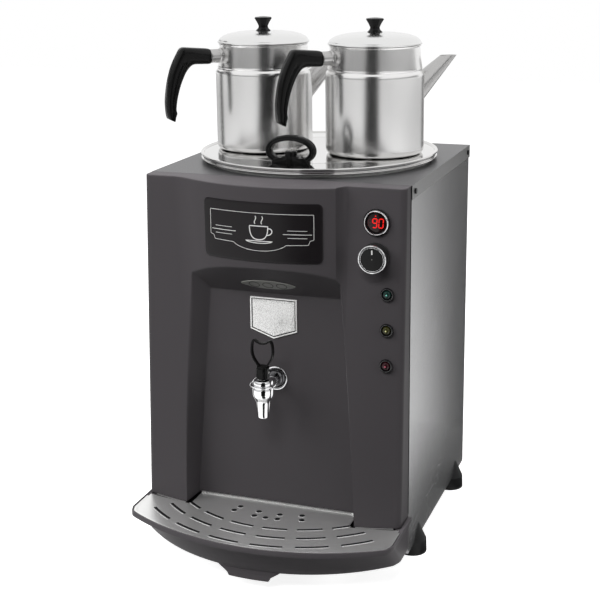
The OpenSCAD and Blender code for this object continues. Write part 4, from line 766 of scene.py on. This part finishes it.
def makePots():
    for name, x in pot["places"].items():
        c = np.array([x, yl, pot["floor"]])
        body, cover = f"{name}_pot", f"{name}_pot_cover"
        rows = [
            ("Body", "body", lathe(potProfile(), c, "up", 160), potSteel, body, "polished_steel", 35),
            # spout and ferrule take the darkened steel: painted shade
            ("Spout", "spout", spoutGrid(c), spoutSteelPaintedShade, body, "polished_steel", 40),
            ("Ferrule", "ferrule", ferruleGrid(c), spoutSteelPaintedShade, body, "chrome", 40),
            ("Handle", "handle", handleGrid(c), handleBlack, body, "black_plastic", 50),
            ("Cover", "lid", lathe(coverProfile(), c, "up", 144), coverSteel, cover, "polished_steel", 40),
            ("Knob", "knob", lathe(knobProfile(), c, "up", 96, octagon), handleBlack, cover, "black_plastic", 30)]
        for label, node, grid, mat, on, slotName, sharp in rows:
            piece(f"{name}Pot{label}", grid, mat, on, f"{name}_pot_{node}", sharp)


makePots()
print("pots made")


# lid: mirror disc with a rolled edge, and its bow handle

lid = {"z": 564.0, "t": 1.2, "handle": 121.0, "bowD": 15.0}


def makeLid():
    t = lid["t"]
    top = rounded([(0, 0), (118, 0), (119, 0.5), (120, 0), (164, 0), (170.4, -0.3)], [0, 2, 1, 2, 3, 0], 4)
    edge = rounded([(170.4, -0.3), (171.6, 1.5), (173.4, 2.1), (175.4, 1.5), (176, 0.2), (175.2, -1.1),
                    (173.4, -1.9), (173.2, -4.6), (174.8, -5.4), (175.2, -6.3), (174.4, -7.1), (171.5, -7.1),
                    (171, -2.6), (168, -2.2)], [0, 1.0, 1.2, 1.2, 0.9, 0.8, 0.6, 0.7, 0.5, 0.5, 0.5, 0.5, 1, 0], 5)
    low = rounded([(166, -1.2 - t), (160, -t), (146, -t), (146, -9), (144.6, -9),
                   (144.6, -t), (0, -t)], 0.3, 3)
    profile = np.concatenate([top, edge, low])
    piece("boilerLid", lathe(profile, (0, yl, lid["z"]), "up", 200), lidSteel, "lid", "boiler_lid")


def makeLidHandle():
    # bow: rounded section with a groove in its front and back faces, carried along an arch in the x, z plane;
    # foot: low splayed block; boss: turned post in the middle
    y = yl - lid["handle"]
    half = np.concatenate([bezier((20.5, 3.0), (26, 6.5), (32.6, 10), (32.6, 17.5), 16),
                           bezier((32.6, 17.5), (32.6, 28), (18, 35.8), (0, 35.8), 26)[1:]])
    arch = np.concatenate([half * [-1, 1], half[-2::-1]])
    path = xyz(arch[:, 0], y, arch[:, 1] + lid["z"])
    section = superOval(4.2, lid["bowD"] / 2, 3.2, 56)
    section[:, 1] *= 1 - 0.16 * np.exp(-((section[:, 0] - 0.3) / 0.9) ** 2) * (np.abs(section[:, 1]) > 3)
    bow = tube(path, section, (0, 1, 0))
    outline = rounded([(-27.2, 0), (27.2, 0), (26.4, 3.2), (20, 8.8), (13, 7.4), (9.5, 10.5), (-9.5, 10.5),
                       (-13, 7.4), (-20, 8.8), (-26.4, 3.2)], 1.6, 4, True)
    rings = [xyz(outline[:, 0] * grow, y + shift, lid["z"] + 0.02 + outline[:, 1] * grow) for shift, grow in (
        (-7.4, 0.965), (-7.0, 0.99), (-6.2, 1.0), (6.2, 1.0), (7.0, 0.99), (7.4, 0.965))]
    boss = lathe(rounded([(0, 0.1), (8.5, 0.1), (8.5, 15.6), (7.4, 17), (4.2, 17), (4.0, 12.4), (0, 12.4)],
                         [0, 0.3, 1, 0.9, 0.5, 0.3, 0], 5), (0, y, lid["z"]), "up", 64)[0]
    piece("lidHandle", [bow, ringStack(rings), boss], bowBlack, "lid", "lid_handle", 45)


makeLid()
makeLidHandle()
print("lid made")


# tap: turned chrome body and bonnet, ribbed collar and tulip loop

tap = {"y": -170.5, "wall": -120.5, "shank": 270.0, "pivot": 295.3}


def makeTap():
    axis = (0, tap["y"], 0)
    body = lathe(rounded([(5.4, 273), (5.4, 231.4), (6.2, 230), (7.5, 230), (7.9, 231.2), (8.3, 240), (9.5, 252),
                          (10.4, 255.4), (13.3, 260.4), (14.1, 264), (14.2, 271.4), (13.4, 273), (5.4, 273)],
                          [0, 0.5, 0.3, 0.4, 0.6, 3, 2.4, 2.4, 2, 2, 0.8, 0.6, 0], 5), axis, "up", 72)[0]
    shank = lathe(rounded([(0, 9), (8, 9), (8, 62), (0, 62)], [0, 0.5, 0.5, 0], 3), (0, tap["y"], tap["shank"]),
                  "back", 48)[0]
    piece("tapBody", [body, shank], chrome, "casing", "tap_body")
    bonnet = rounded([(5.2, 273.1), (13.2, 273.1), (14.1, 274), (14.1, 276), (17.2, 276), (18, 276.7), (18, 277.8),
                      (17.2, 278.5), (14.1, 278.5), (14.1, 281.6), (13.0, 284.2), (11.4, 285), (5.2, 285),
                      (5.2, 273.1)], [0, 0.4, 0.6, 0.4, 0.6, 0.5, 0.5, 0.6, 0.4, 1.2, 1, 0.8, 0.4, 0], 4)
    piece("tapBonnet", lathe(bonnet, axis, "up", 80), chrome, "casing", "tap_bonnet")
    wall = (0, tap["wall"], tap["shank"])
    flange = rounded([(14.4, 0), (17.6, 0), (17.6, 1.5), (16.8, 2.5), (15.6, 2.3), (14.8, 1.7), (14.4, 0)],
                     [0, 0.3, 0.6, 0.5, 0.4, 0.2, 0], 4)
    cone = rounded([(8.1, 0.1), (14.7, 0.1), (14.9, 1.9), (14.2, 3.4), (12.6, 6.2), (10.8, 8.2), (9.6, 9), (8.1, 9),
                    (8.1, 0.1)], [0, 0.1, 0.4, 0.6, 2, 1.4, 0.6, 0.3, 0], 4)
    # the cone takes the darkened chrome: painted dark reflection
    piece("tapFlangeCone", lathe(cone, wall, "front", 80), chromePaintedDark, "casing", None)
    piece("tapFlange", lathe(flange, wall, "front", 80), chrome, "casing", "tap_flange")


def makeTapHandle():
    # collar: ribbed rounded block; loop: flat strip carried along a tulip with two horns and a sagging bridge
    z = tap["pivot"]
    t = np.linspace(0, 2 * np.pi, 145)
    plan = superOval(8.6, 8.2, 3.0, 144)
    ribs = 1 - 0.07 * (np.cos(10 * t) > 0.35)[:, None]
    rings = []
    for h, grow, rib in ((-8.6, 0.90, 0), (-8.0, 1.0, 0), (-6.2, 1.0, 0), (-5.8, 1.0, 1), (4.6, 1.0, 1),
                         (5.0, 1.0, 0), (7.0, 1.0, 0), (8.4, 0.86, 0)):
        q = plan * grow * (ribs if rib else 1)
        rings.append(xyz(q[:, 0], tap["y"] + q[:, 1], z + h))
    half = np.concatenate([bezier((2.2, 300.5), (8.5, 307), (15.4, 315), (15.3, 325.5), 22),
                           bezier((15.3, 325.5), (15.2, 332), (14.2, 340.6), (11.4, 340.2), 14)[1:],
                           bezier((11.4, 340.2), (9.2, 339.9), (7, 336.2), (0, 336.0), 12)[1:]])
    line = np.concatenate([half, half[-2::-1] * [-1, 1]])
    path = xyz(line[:, 0], tap["y"], line[:, 1])
    strip = tube(path, superOval(1.35, 3.4, 4, 40), (0, 1, 0))
    piece("tapHandle", [ringStack(rings), strip], loopBlack, "tap_lever", "tap_handle", 45)


makeTap()
makeTapHandle()
print("tap made")


# controls on the right strip

control = {"x": 150.0, "displayZ": 506.0, "displayY": -132.4, "knobZ": 461.0, "knobY": -135.1, "lampX": 166.0,
           "digit": (5.8, 12.0, 1.45), "ghost": (4.2, 8.6, 1.2), "printT": 0.45,
           "lamps": {"green": (410.0, -136.4), "amber": (361.0, -138.6), "red": (312.0, -140.8)}}


def flatBars(bars, y, t):  # closed flat bars from outlines in x and z, t thick, facing the front
    rings = [np.concatenate([bar, bar[:1]]) for bar in bars]
    return [ringStack([xyz(q[:, 0], y - h, q[:, 1]) for h in (0, t)]) for q in rings]


def sevenSegments(digit, x, z, w, h, t):  # the lit bars of one digit, each a long hexagon
    lit = {"9": "abcdfg", "0": "abcdef", "8": "abcdefg"}[digit]
    g, q = t * 0.12, t / 2
    ends = {"a": ((0, h), (w, h)), "b": ((w, h), (w, h / 2)), "c": ((w, h / 2), (w, 0)), "d": ((0, 0), (w, 0)),
            "e": ((0, h / 2), (0, 0)), "f": ((0, h), (0, h / 2)), "g": ((0, h / 2), (w, h / 2))}
    bars = []
    for s in lit:
        p0, p1 = (np.array(p, float) for p in ends[s])
        d = (p1 - p0) / np.linalg.norm(p1 - p0)
        n = np.array([-d[1], d[0]])
        p0, p1 = p0 + d * g, p1 - d * g
        bar = np.array([p0, p0 + (d + n) * q, p1 + (n - d) * q, p1, p1 - (d + n) * q, p0 + (d - n) * q])
        bar[:, 0] += bar[:, 1] * 0.07
        bars.append(bar + (x, z))
    return bars


def makeDisplay():
    c = (control["x"], control["displayY"], control["displayZ"])
    gasket = lathe(rounded([(16.9, -0.3), (18.5, -0.3), (18.5, 0.9), (18.0, 1.5), (16.9, 1.6), (16.9, -0.3)],
                           [0, 0.1, 0.4, 0.4, 0.2, 0], 4), c, "front", 96)
    funnel = lathe(rounded([(15.1, 4.3), (14.3, 4.0), (13.4, 1.4), (14.4, 1.2), (15.1, 4.3)], [0, 0.2, 0.2, 0.1, 0],
                           3), c, "front", 96)
    piece("displayGasket", [gasket, funnel], blackMatt, "casing", None)
    ring = rounded([(15.0, 0), (17.4, 0), (17.2, 2.6), (16.6, 4.3), (15.9, 4.8), (15.2, 4.5), (15.0, 3.8),
                    (15.0, 0)], [0, 0.1, 0.9, 0.6, 0.4, 0.4, 0.2, 0], 5)
    piece("displayRing", lathe(ring, c, "front", 112), chrome, "casing", "display_bezel")
    window = rounded([(0, 0), (13.5, 0), (13.5, 1.0), (12, 1.3), (0, 1.6)], [0, 0.1, 0.3, 2, 0], 4)
    piece("displayWindow", lathe(window, c, "front", 96), windowDark, "casing", "display_window")
    y = c[1] - 1.3
    bars = [bar for digit, x in (("9", -5.6), ("0", 3.0))
            for bar in sevenSegments(digit, c[0] + x, c[2] - 6.6, *control["digit"])]
    dot = arc(c[0] - 1.2, c[2] + 9.0, 0.9, np.linspace(0, 2 * np.pi, 12, endpoint=False))
    piece("displayDigits", flatBars(bars + [dot], y, 0.5), digitRed, "casing", None)
    ghost = sevenSegments("8", c[0] - 11.4, c[2] - 4.6, *control["ghost"])
    piece("displayGhost", flatBars(ghost, y, 0.42), digitGhost, "casing", None)


def makeKnob():
    c = (control["x"], control["knobY"], control["knobZ"])
    grip = rounded([(0, 0.1), (18.6, 0.1), (18.6, 2.4), (18.1, 3.0), (17.8, 3.3), (18.3, 18.2), (17.9, 19.6),
                    (16.9, 19.6), (4, 19.8), (0, 19.8)], [0, 0.2, 0.7, 0.4, 0.4, 0.3, 0.3, 0.3, 1, 0], 4)
    piece("controlKnob", lathe(grip, c, "front", 120), knobBlack, "knob", "control_knob", 35)
    ring = rounded([(17.3, 19.2), (17.4, 20.4), (18.0, 20.9), (18.8, 20.6), (19.2, 19.8), (19.2, 18.6),
                    (18.25, 17.8), (18.2, 18.9), (17.3, 19.2)], [0, 0.3, 0.3, 0.3, 0.4, 0.3, 0.1, 0.1, 0], 4)
    piece("knobRing", lathe(ring, c, "front", 144), chrome, "knob", "knob_ring")
    thin = rounded([(15.5, 19.5), (16.3, 19.5), (16.2, 20.4), (15.9, 20.6), (15.6, 20.4), (15.5, 19.5)],
                   [0, 0.1, 0.2, 0.3, 0.2, 0], 3)
    piece("knobInnerRing", lathe(thin, c, "front", 120), chrome, "knob", None)
    y = c[1] - 19.6
    mark = rounded([(-0.95, 6.6), (0.95, 6.6), (0.95, 12.6), (-0.95, 12.6)], 0.5, 3, True)[:-1] + [c[0], c[2]]
    dot = arc(c[0], c[2], 0.7, np.linspace(0, 2 * np.pi, 14, endpoint=False))
    piece("knobMark", flatBars([mark], y, control["printT"]), whiteMark, "knob", None)
    piece("knobDot", flatBars([dot], y, control["printT"]), frosted, "knob", None)


def makeLamps():
    lens = {"green": greenLens, "amber": amberLens, "red": redLens}
    spark = {"green": greenSpark, "amber": amberSpark, "red": redSpark}
    bezel = rounded([(5.7, -0.2), (9.3, -0.2), (9.3, 1.5), (8.7, 2.6), (7.7, 3.0), (7.0, 2.4), (6.6, 1.4),
                     (5.9, 1.1), (5.7, -0.2)], [0, 0.1, 0.7, 0.5, 0.5, 0.4, 0.4, 0.3, 0], 4)
    glint = rounded([(7.35, 2.5), (8.0, 2.7), (8.05, 3.15), (7.7, 3.3), (7.3, 3.0), (7.35, 2.5)],
                    [0, 0.1, 0.2, 0.2, 0.2, 0], 3)
    dome = rounded([(0, -1), (5.6, -1), (5.6, 1.2), (5.0, 3.2), (3.2, 4.5), (0, 5.0)], [0, 0.1, 0.8, 1.4, 1.6, 0],
                   5)
    tip = rounded([(0, 4.4), (1.15, 4.4), (1.0, 5.0), (0, 5.25)], [0, 0.1, 0.3, 0], 3)
    bezels, rings = [], []
    for name, (z, y) in control["lamps"].items():
        c = (control["lampX"], y, z)
        bezels.append(lathe(bezel, c, "front", 72)[0])
        rings.append(lathe(glint, c, "front", 72)[0])
        piece(f"{name}Lamp", lathe(dome, c, "front", 56), lens[name], "casing", f"{name}_lamp", 60)
        piece(f"{name}Spark", lathe(tip, c, "front", 24), spark[name], "casing", None, 60)
    piece("lampBezels", bezels, blackGloss, "casing", "lamp_bezels", 45)
    piece("lampGlints", rings, dimSteel, "casing", None, 60)


makeDisplay()
makeKnob()
makeLamps()
print("controls made")


# plates on the front: curved nameplate with a plain line border, hammered shield, frosted lamp lens

plate = {"w": 171.0, "h": 81.0, "corner": 7.5, "x": -3.0, "z": 490.5, "rise": 1.5, "print": (1.45, 1.62)}


def roundRect(w, h, corner, n=7):
    return rounded([(-w / 2, -h / 2), (w / 2, -h / 2), (w / 2, h / 2), (-w / 2, h / 2)], corner, n, True)


def dense(line, step):  # closed outline with extra points so that no edge is longer than step
    d = np.linalg.norm(np.diff(line, axis=0), axis=1)
    counts = np.maximum(1, np.ceil(d / step)).astype(int)
    return np.concatenate([np.linspace(a, b, n, endpoint=False) for a, b, n in zip(line[:-1], line[1:], counts)]
                          + [line[-1:]])


def onBulge(points, lift):  # x and z on the bulged head, lifted towards the front
    x, z = points[..., 0] + plate["x"], points[..., 1]
    r = panel["bulgeR"] + lift
    return xyz(x, yb - panel["bulge"] + panel["bulgeR"] - np.sqrt(r * r - x * x), plate["z"] + z)


def ribbon(line, width, lift, place):
    # flat printed line: outline between two offsets, a little proud of its ground
    line = np.asarray(line, float)
    closed = np.allclose(line[0], line[-1])
    if closed:
        d = np.roll(line[:-1], -1, 0) - np.roll(line[:-1], 1, 0)
        d = np.concatenate([d, d[:1]])
    else:
        d = np.gradient(line, axis=0)
    n = np.stack([-d[:, 1], d[:, 0]], 1) / np.linalg.norm(d, axis=1)[:, None]
    a, b = line + n * width / 2, line - n * width / 2
    low, high = lift
    rows = np.stack([place(a, low), place(a, high), place(b, high), place(b, low), place(a, low)], 1)
    return rows if closed else closeEnds(rows)


def makeNameplate():
    line = dense(roundRect(plate["w"], plate["h"], plate["corner"], 8), 2.5)
    steps = [(0.0, 0.05), (0.4, 0.05), (0.8, 0.05), (1.0, 0.05), (1.0, 1.0), (0.9965, 1.36)]
    steps += [(g, plate["rise"]) for g in (0.990, 0.94, 0.86, 0.76, 0.64, 0.5, 0.36, 0.22, 0.1)]
    rings = [onBulge(line * g, lift) for g, lift in steps]
    grid = np.asarray(rings + [np.broadcast_to(onBulge(np.zeros((1, 2)), plate["rise"]), rings[0].shape)])
    piece("nameplate", grid, plateBlack, "casing", "nameplate")
    low = bezier((38, -16), (24, -28.5), (-24, -28.5), (-38, -16), 24)
    frameLine = np.concatenate([[(-74.5, 26), (-74.5, -8), (-69.5, -9.5), (-67.5, -15)], low[::-1],
                                [(67.5, -15), (69.5, -9.5), (74.5, -8), (74.5, 26)]])
    frameLine = dense(rounded(frameLine[::-1], 1.0, 4, True), 2.5)
    # a plain cup on a saucer with two curls of steam
    cup = bezier((-15, 8), (-15, -10), (-8, -13), (0, -13), 16)
    cup = np.concatenate([cup, cup[::-1] * [-1, 1], [[-15, 8]]])
    ear = bezier((14.6, 4.5), (24, 7), (24, -6), (12.6, -5.5), 16)
    saucer = np.concatenate([bezier((-22, -15.2), (-14, -19.6), (14, -19.6), (22, -15.2), 20), [[-22, -15.2]]])
    steam = [bezier((s, 11.5), (s - 4.5, 15), (s + 4.5, 19), (s, 23.5), 14) for s in (-5.5, 5.5)]
    drawing = [(dense(cup, 2), 1.3), (ear, 1.3), (dense(saucer, 2), 1.1), (steam[0], 1.1), (steam[1], 1.1)]
    shapes = [(frameLine, 0.6)] + [(line * 0.88 + [0, 1.5], w) for line, w in drawing]
    for side in (-1, 1):  # three short rules beside the cup
        for near, far, n, z, w in ((34, 72, 20, -1.0, 0.8), (40, 66, 16, -6.0, 0.6), (40, 66, 16, 4.0, 0.6)):
            shapes.append((np.stack([np.linspace(near, far, n) * side, np.full(n, z)], 1), w))
    piece("nameplatePrint", [ribbon(s, w, plate["print"], onBulge) for s, w in shapes], whiteMark, "casing", None,
          30)


shield = {"x": -1.8, "half": 34.6, "tip": 327.8, "low": 340.0, "top": 386.8, "middle": 362.6, "wall": -120.55}


def insetShape(points, d):  # corners of a convex outline with every edge moved inwards by d
    p = np.asarray(points, float)
    e = np.roll(p, -1, 0) - p
    n = np.stack([-e[:, 1], e[:, 0]], 1) / np.linalg.norm(e, axis=1)[:, None]
    return np.array([p[i] + np.linalg.solve(n[[i - 1, i]], np.array([d, d])) for i in range(len(p))])


def makeShield():
    s = shield
    base = [(0, s["tip"]), (s["half"], s["low"]), (s["half"], s["top"]), (-s["half"], s["top"]),
            (-s["half"], s["low"])]

    def onRecess(q, lift):  # x and z on the recess wall, lifted towards the front
        return xyz(q[:, 0] + s["x"], s["wall"] - lift, q[:, 1])

    def rows(steps):  # rings of the outline moved inwards and lifted
        made = []
        for inset, rise in steps:
            q = insetShape(base, inset)
            q = np.concatenate([q, q[:1]])
            q = np.concatenate([np.linspace(q[i], q[i + 1], 16, endpoint=False) for i in range(5)] + [q[:1]])
            made.append(onRecess(q, rise))
        return made

    rim = rows([(0.0, 0.0), (0.0, 1.4), (0.3, 1.9), (0.8, 2.15), (1.6, 2.1), (2.0, 1.5), (2.1, 0.1)])
    piece("shieldRim", ringStack(rim), silverEdge, "casing", None, 35)
    rings = rows([(2.2, 0.05), (2.5, 0.7), (3.0, 0.6), (3.3, 1.0), (3.7, 1.55), (4.4, 1.7)])
    field = rings[-1]
    mid = np.array([s["x"], s["wall"] - 1.7, s["middle"]])
    rings += [mid + (field - mid) * g for g in (0.8, 0.6, 0.4, 0.2)]
    # black line laid in the groove inside the rim: painted shade
    line = insetShape(base, 2.75)
    groove = ribbon(dense(np.concatenate([line, line[:1]]), 4), 1.3, (0.3, 0.95), onRecess)
    piece("shieldGrooveShade", groove, blackMatt, "casing", None)
    piece("shieldPlate", ringStack(rings), hammered, "casing", "shield_plate", 35)


lampLens = {"x": -3.0, "centre": (-137.4, 410.0), "half": 40.0, "high": 11.0, "along": (-0.724, 0.689),
            "normal": (-0.689, -0.724)}


def onCeiling(points, lift):  # x and the way up the sloping ceiling, lifted off it
    a, b = points[..., 0], points[..., 1]
    (cy, cz), (ty, tz), (ny, nz) = lampLens["centre"], lampLens["along"], lampLens["normal"]
    return xyz(a + lampLens["x"], cy + b * ty + lift * ny, cz + b * tz + lift * nz)


def makeLampLens():
    t = np.linspace(0, 2 * np.pi, 121)
    line = np.stack([lampLens["half"] * np.cos(t), lampLens["high"] * np.sign(np.sin(t))
                     * np.abs(np.sin(t)) ** 1.35], 1)
    steps = ((1.0, -1.0), (1.0, 0.5), (0.985, 0.85), (0.95, 0.9), (0.8, 1.0), (0.5, 1.1), (0.2, 1.1))
    rings = [onCeiling(line * g, lift) for g, lift in steps]
    piece("recessLampLens", ringStack(rings), frosted, "casing", "recess_lamp_lens")
    circles = [np.stack([x + 7.4 * np.cos(t[::3]), 6.6 * np.sin(t[::3])], 1) for x in (-20, 0, 20)]
    piece("recessLampCells", [ribbon(q, 0.9, (0.8, 1.25), onCeiling) for q in circles], blackMatt, "casing", None,
          60)


makeNameplate()
makeShield()
makeLampLens()
print("plates made")


# drip tray: rim, set-back skirt and pull tab

tray = {"rimReach": 163.0, "rimR": 356.0, "rimW": 388.0, "topReach": 152.0, "topR": 330.0, "topW": 380.0,
        "lowReach": 131.0, "lowR": 265.0, "lowW": 380.0, "back": -104.5, "corner": 12, "rearTop": 79.2,
        "rimLow": 72.0, "skirtLow": 30.0, "tab": 30.5, "tabX": -2.5, "tabFlare": 17.0, "tabLow": 16.0,
        "tabRound": 2.5}


def trayOutline(kind, inset, n=90):
    # back edge, straight sides and a front arc of radius r, corners eased, then moved inwards by inset
    reach, r, w = (tray[kind + key] for key in ("Reach", "R", "W"))
    half, front = w / 2 - inset, yb - reach + inset
    rr = r - inset
    x = np.linspace(-half, half, n)
    bow = np.stack([x, front + rr - np.sqrt(rr * rr - x * x)], 1)
    back = tray["back"] - inset
    side = 10
    left = np.linspace((-half, back), bow[0], side, endpoint=False)
    right = np.linspace(bow[-1], (half, back), side + 1)[1:]
    line = np.concatenate([left, bow, right])
    # corners: points within reach of a corner slide towards the chord between its neighbours
    for k in (side, side + n - 1):
        d = np.linalg.norm(line - line[k], axis=1)
        pull = np.clip(1 - d / tray["corner"], 0, 1) ** 2 * tray["corner"] * 0.30
        toward = np.array([0, back * 0.5 + front * 0.5]) - line[k]
        line = line + pull[:, None] * toward / np.linalg.norm(toward)
    rear = np.linspace(line[-1], line[0], 24)[1:]
    return np.concatenate([line, rear])


def makeTray():
    t = tray

    def ring(kind, inset, z):
        q = trayOutline(kind, inset)
        return xyz(q[:, 0], q[:, 1], np.where(q[:, 1] > t["back"] - 14, np.minimum(z, t["rearTop"]), z))

    def between(s, inset, z):  # skirt rows between its upper and lower plan
        a, b = ring("top", inset, z), ring("low", inset, z)
        return a + (b - a) * s

    rows = [between(1, 12, 33.4), between(1, 4, 33.4), between(0.96, 3, 35), between(0.5, 3, 55)]
    rows += [ring("rim", inset, z) for inset, z in (
        (12, 71), (12, 77.6), (5.2, 77.7), (5, 78.2), (5, 78.9), (1.5, 78.9), (1.4, 80.2), (1.1, 80.6), (0.5, 80.6),
        (0.1, 80.3), (0, 79.6), (0, 73.2), (0.35, 72.4), (1.2, 72))]
    rows += [ring("top", -0.6, 71.8), ring("top", 0.0, 70.6)]
    rows += [between(s, 0, t["rimLow"] + (t["skirtLow"] - t["rimLow"]) * s) for s in (0.08, 0.25, 0.5, 0.75, 0.93)]
    rows += [between(0.985, 0.6, 30.6), between(1, 1.8, 30.0), between(1, 12, 30.0)]
    body = ringStack(rows)
    # tab: the skirt's lower edge carried down between two S-shaped flanks
    zRows = spread([t["tabLow"], t["tabLow"] + 2, 34.0], [6, 18])
    up = zRows - t["tabLow"]
    half = t["tab"] - t["tabRound"] * (1 - np.clip(up / t["tabRound"], 0, 1)) ** 2
    half = half + t["tabFlare"] * smoothStep((up - t["tabRound"]) / (31.5 - t["tabLow"]))
    s = np.linspace(-1, 1, 41)
    x = half[:, None] * s[None] + t["tabX"]
    front = yb - t["lowReach"] + t["lowR"] - np.sqrt(t["lowR"] ** 2 - x * x)
    front = front + 0.9 * (1 - np.clip(up / 1.2, 0, 1)[:, None]) ** 2
    rows = []
    for k, z in enumerate(zRows):
        a, b = xyz(x[k], front[k] + 0.02, z), xyz(x[k], front[k] + 4.0, z)
        rows.append(np.concatenate([a, b[::-1], a[:1]]))
    piece("dripTray", [body, ringStack(rows)], trayPaintedLightGrey, "tray", "drip_tray", 38)


makeTray()
print("tray made")


# grille details: pressed lips round the slots, painted shade over the slots and holes, along the border and on the
# rear lip

grille = {"slotR": 242.0, "pitch": 26.0, "dark": 5.2, "step": 14.8, "span": 10.6, "centre": 92.0, "top": 79.5,
          "sheet": 1.5, "clear": -149.0, "inner": 39.2, "lipHalf": 112.0, "ridgeShadeLines": (80.3, 81.6), "holeR": 4.3,
          "holeStep": 6.216, "holes": [(160.1, (-3, -1, 0, 1, 3)), (145.8, (-3, -1, 1, 3))]}


def onGrille(points, lift):  # x and y on the grille, lifted off it
    return xyz(points[..., 0], points[..., 1], grille["top"] + lift)


def makeGrilleLips():
    # border: flat band between two insets of the tray's outline; slots and holes: black arcs and discs laid over
    # the openings, painted shade for their dark insides, with a bright lip at the front
    g = grille
    edge = trayOutline("rim", 2.2)[:110]
    free = edge[:, 1] < g["clear"]
    band = [onGrille(trayOutline("rim", inset)[:110][free], lift)
            for inset, lift in ((1.6, -0.4), (1.6, 0.0), (1.9, 0.08), (6.8, 0.08), (7.0, -0.1))]
    band = closeEnds(np.concatenate([np.asarray(band), band[0][None]]).transpose(1, 0, 2))
    piece("grilleBorder", band, grilleSteel, "grille", None)
    # black line along the grille's border: painted shadow in the gap under the tray's rim
    piece("grilleRimShadowLine", ribbon(edge[free], 1.1, (-0.3, 0.2), onGrille), blackMatt, "grille", None)
    # turned edge along the front of both strips
    foot = panel["footLine"]
    for name, side in (("grilleLipLeft", -1), ("grilleLipRight", 1)):
        q = foot[(foot[:, 0] * side > 128) & (foot[:, 0] * side < 187)] - [0, 1.9]
        piece(name, ribbon(q, 2.6, (-0.4, 0.12), onGrille), grilleSteel, "grille", None)
    cy = yb + g["centre"]
    slotShades, lips = [], []
    for row in range(3):
        r = g["slotR"] - row * g["pitch"]
        for i in np.arange(-2.5, 2.6, 1):
            turned = i * g["step"] + np.linspace(-0.5, 0.5, 16) * g["span"]
            if row == 2:  # the inner row stops short of the pillars
                turned = np.linspace(max(turned[0], -g["inner"]), min(turned[-1], g["inner"]), 16)
            a = np.radians(270 + turned)
            slotShades.append(ribbon(arc(0, cy, r, a), g["dark"], (-0.3, 0.06), onGrille))
            lips.append(ribbon(arc(0, cy, r + g["dark"] / 2, a), 0.9, (-0.3, 0.30), onGrille))
    turn = np.linspace(0, 2 * np.pi, 25)
    spots = [(r, math.radians(270 + k * g["holeStep"])) for r, steps in g["holes"] for k in steps]
    for x, y in [(r * math.cos(a), cy + r * math.sin(a)) for r, a in spots]:
        disc = arc(x, y, g["holeR"], turn)
        slotShades.append(ringStack([onGrille(disc, -0.3), onGrille(disc, 0.06)]))
        lips.append(ribbon(arc(x, y, g["holeR"] + 0.2, turn[12:]), 0.8, (-0.3, 0.25), onGrille))
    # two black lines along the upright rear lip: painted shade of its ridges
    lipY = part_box("drip_grille")[1][1] * 1000 - g["sheet"]

    def onLip(q, lift):
        return xyz(q[:, 0], lipY - lift, q[:, 1])

    along = np.linspace(-g["lipHalf"], g["lipHalf"], 30)
    ridgeShadeLines = [ribbon(np.stack([along, np.full(30, z)], 1), 0.55, (-0.2, 0.08), onLip) for z in g["ridgeShadeLines"]]
    piece("grilleRidgeShade", ridgeShadeLines, blackMatt, "grille", None)
    # black strips over the slots and holes: painted shade
    piece("grilleSlotShade", slotShades, blackMatt, "grille", None)
    piece("grilleLips", lips, silverEdge, "grille", None)


makeGrilleLips()
print("grille lips made")


# valve spring: helix between the seat cup and the bonnet's roof
spring = {"wire": 0.7, "turns": 4, "roof": 282.0, "press": 0.73}


def makeSpring():
    low, high = np.array(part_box("tap_spring")) * 1000
    cx, cy = (low[:2] + high[:2]) / 2
    w, reach = spring["wire"], (high[0] - low[0]) / 2 - spring["wire"]
    t, b = np.linspace(0, 2 * np.pi * spring["turns"], 129)[:, None], np.linspace(0, 2 * np.pi, 13)[None]
    r = reach + w * np.cos(b)
    z = low[2] + w + (high[2] - low[2] - 2 * w) * t / t.max() + w * np.sin(b)
    grid = closeEnds(xyz(cx + r * np.cos(t), cy + r * np.sin(t), z))
    coil = piece("tapSpring", grid, innerSteel, "casing", "tap_spring", 50)
    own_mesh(coil)


makeSpring()
print("spring made")


# CAD nodes that keep their shape get a finish

nodeFinish = {
    "sheetGrey": (sheetGrey, ["left_side_panel", "right_side_panel", "back_panel"]),
    "coverSheetLitShaded": (coverSheetLitShaded, ["top_cover"]),
    "innerSteel": (innerSteel, ["base_plate", "boiler_stand", "heating_element", "foot_screws", "tap_stem",
                                "tap_pin", "thermostat_spindle", "lid_handle_screw", "tap_nut", "boiler_tank"]),
    "blackMatt": (blackMatt, ["casing_screws", "display_module", "cable_gland", "overheat_cutout"]),
    "footRubber": (feltedRubber, ["feet"]),
    "grille": (grilleSteel, ["drip_grille"]),
    "silicone": (silicone, ["lid_gasket", "tap_gasket", "tap_seat"]),
    "felt": (felt, ["boiler_jacket"]),
    "ceramic": (ceramicWhite, ["thermostat_body", "terminal_block"]),
    "board": (boardGreen, ["recess_lamp_board"]),
    "copper": (copperTube, ["thermostat_capillary"]),
}
for mat, names in nodeFinish.values():
    for n in names:
        nodes[n].data.materials.clear()
        nodes[n].data.materials.append(mat)
print("finishes given to", sum(len(v[1]) for v in nodeFinish.values()), "nodes")
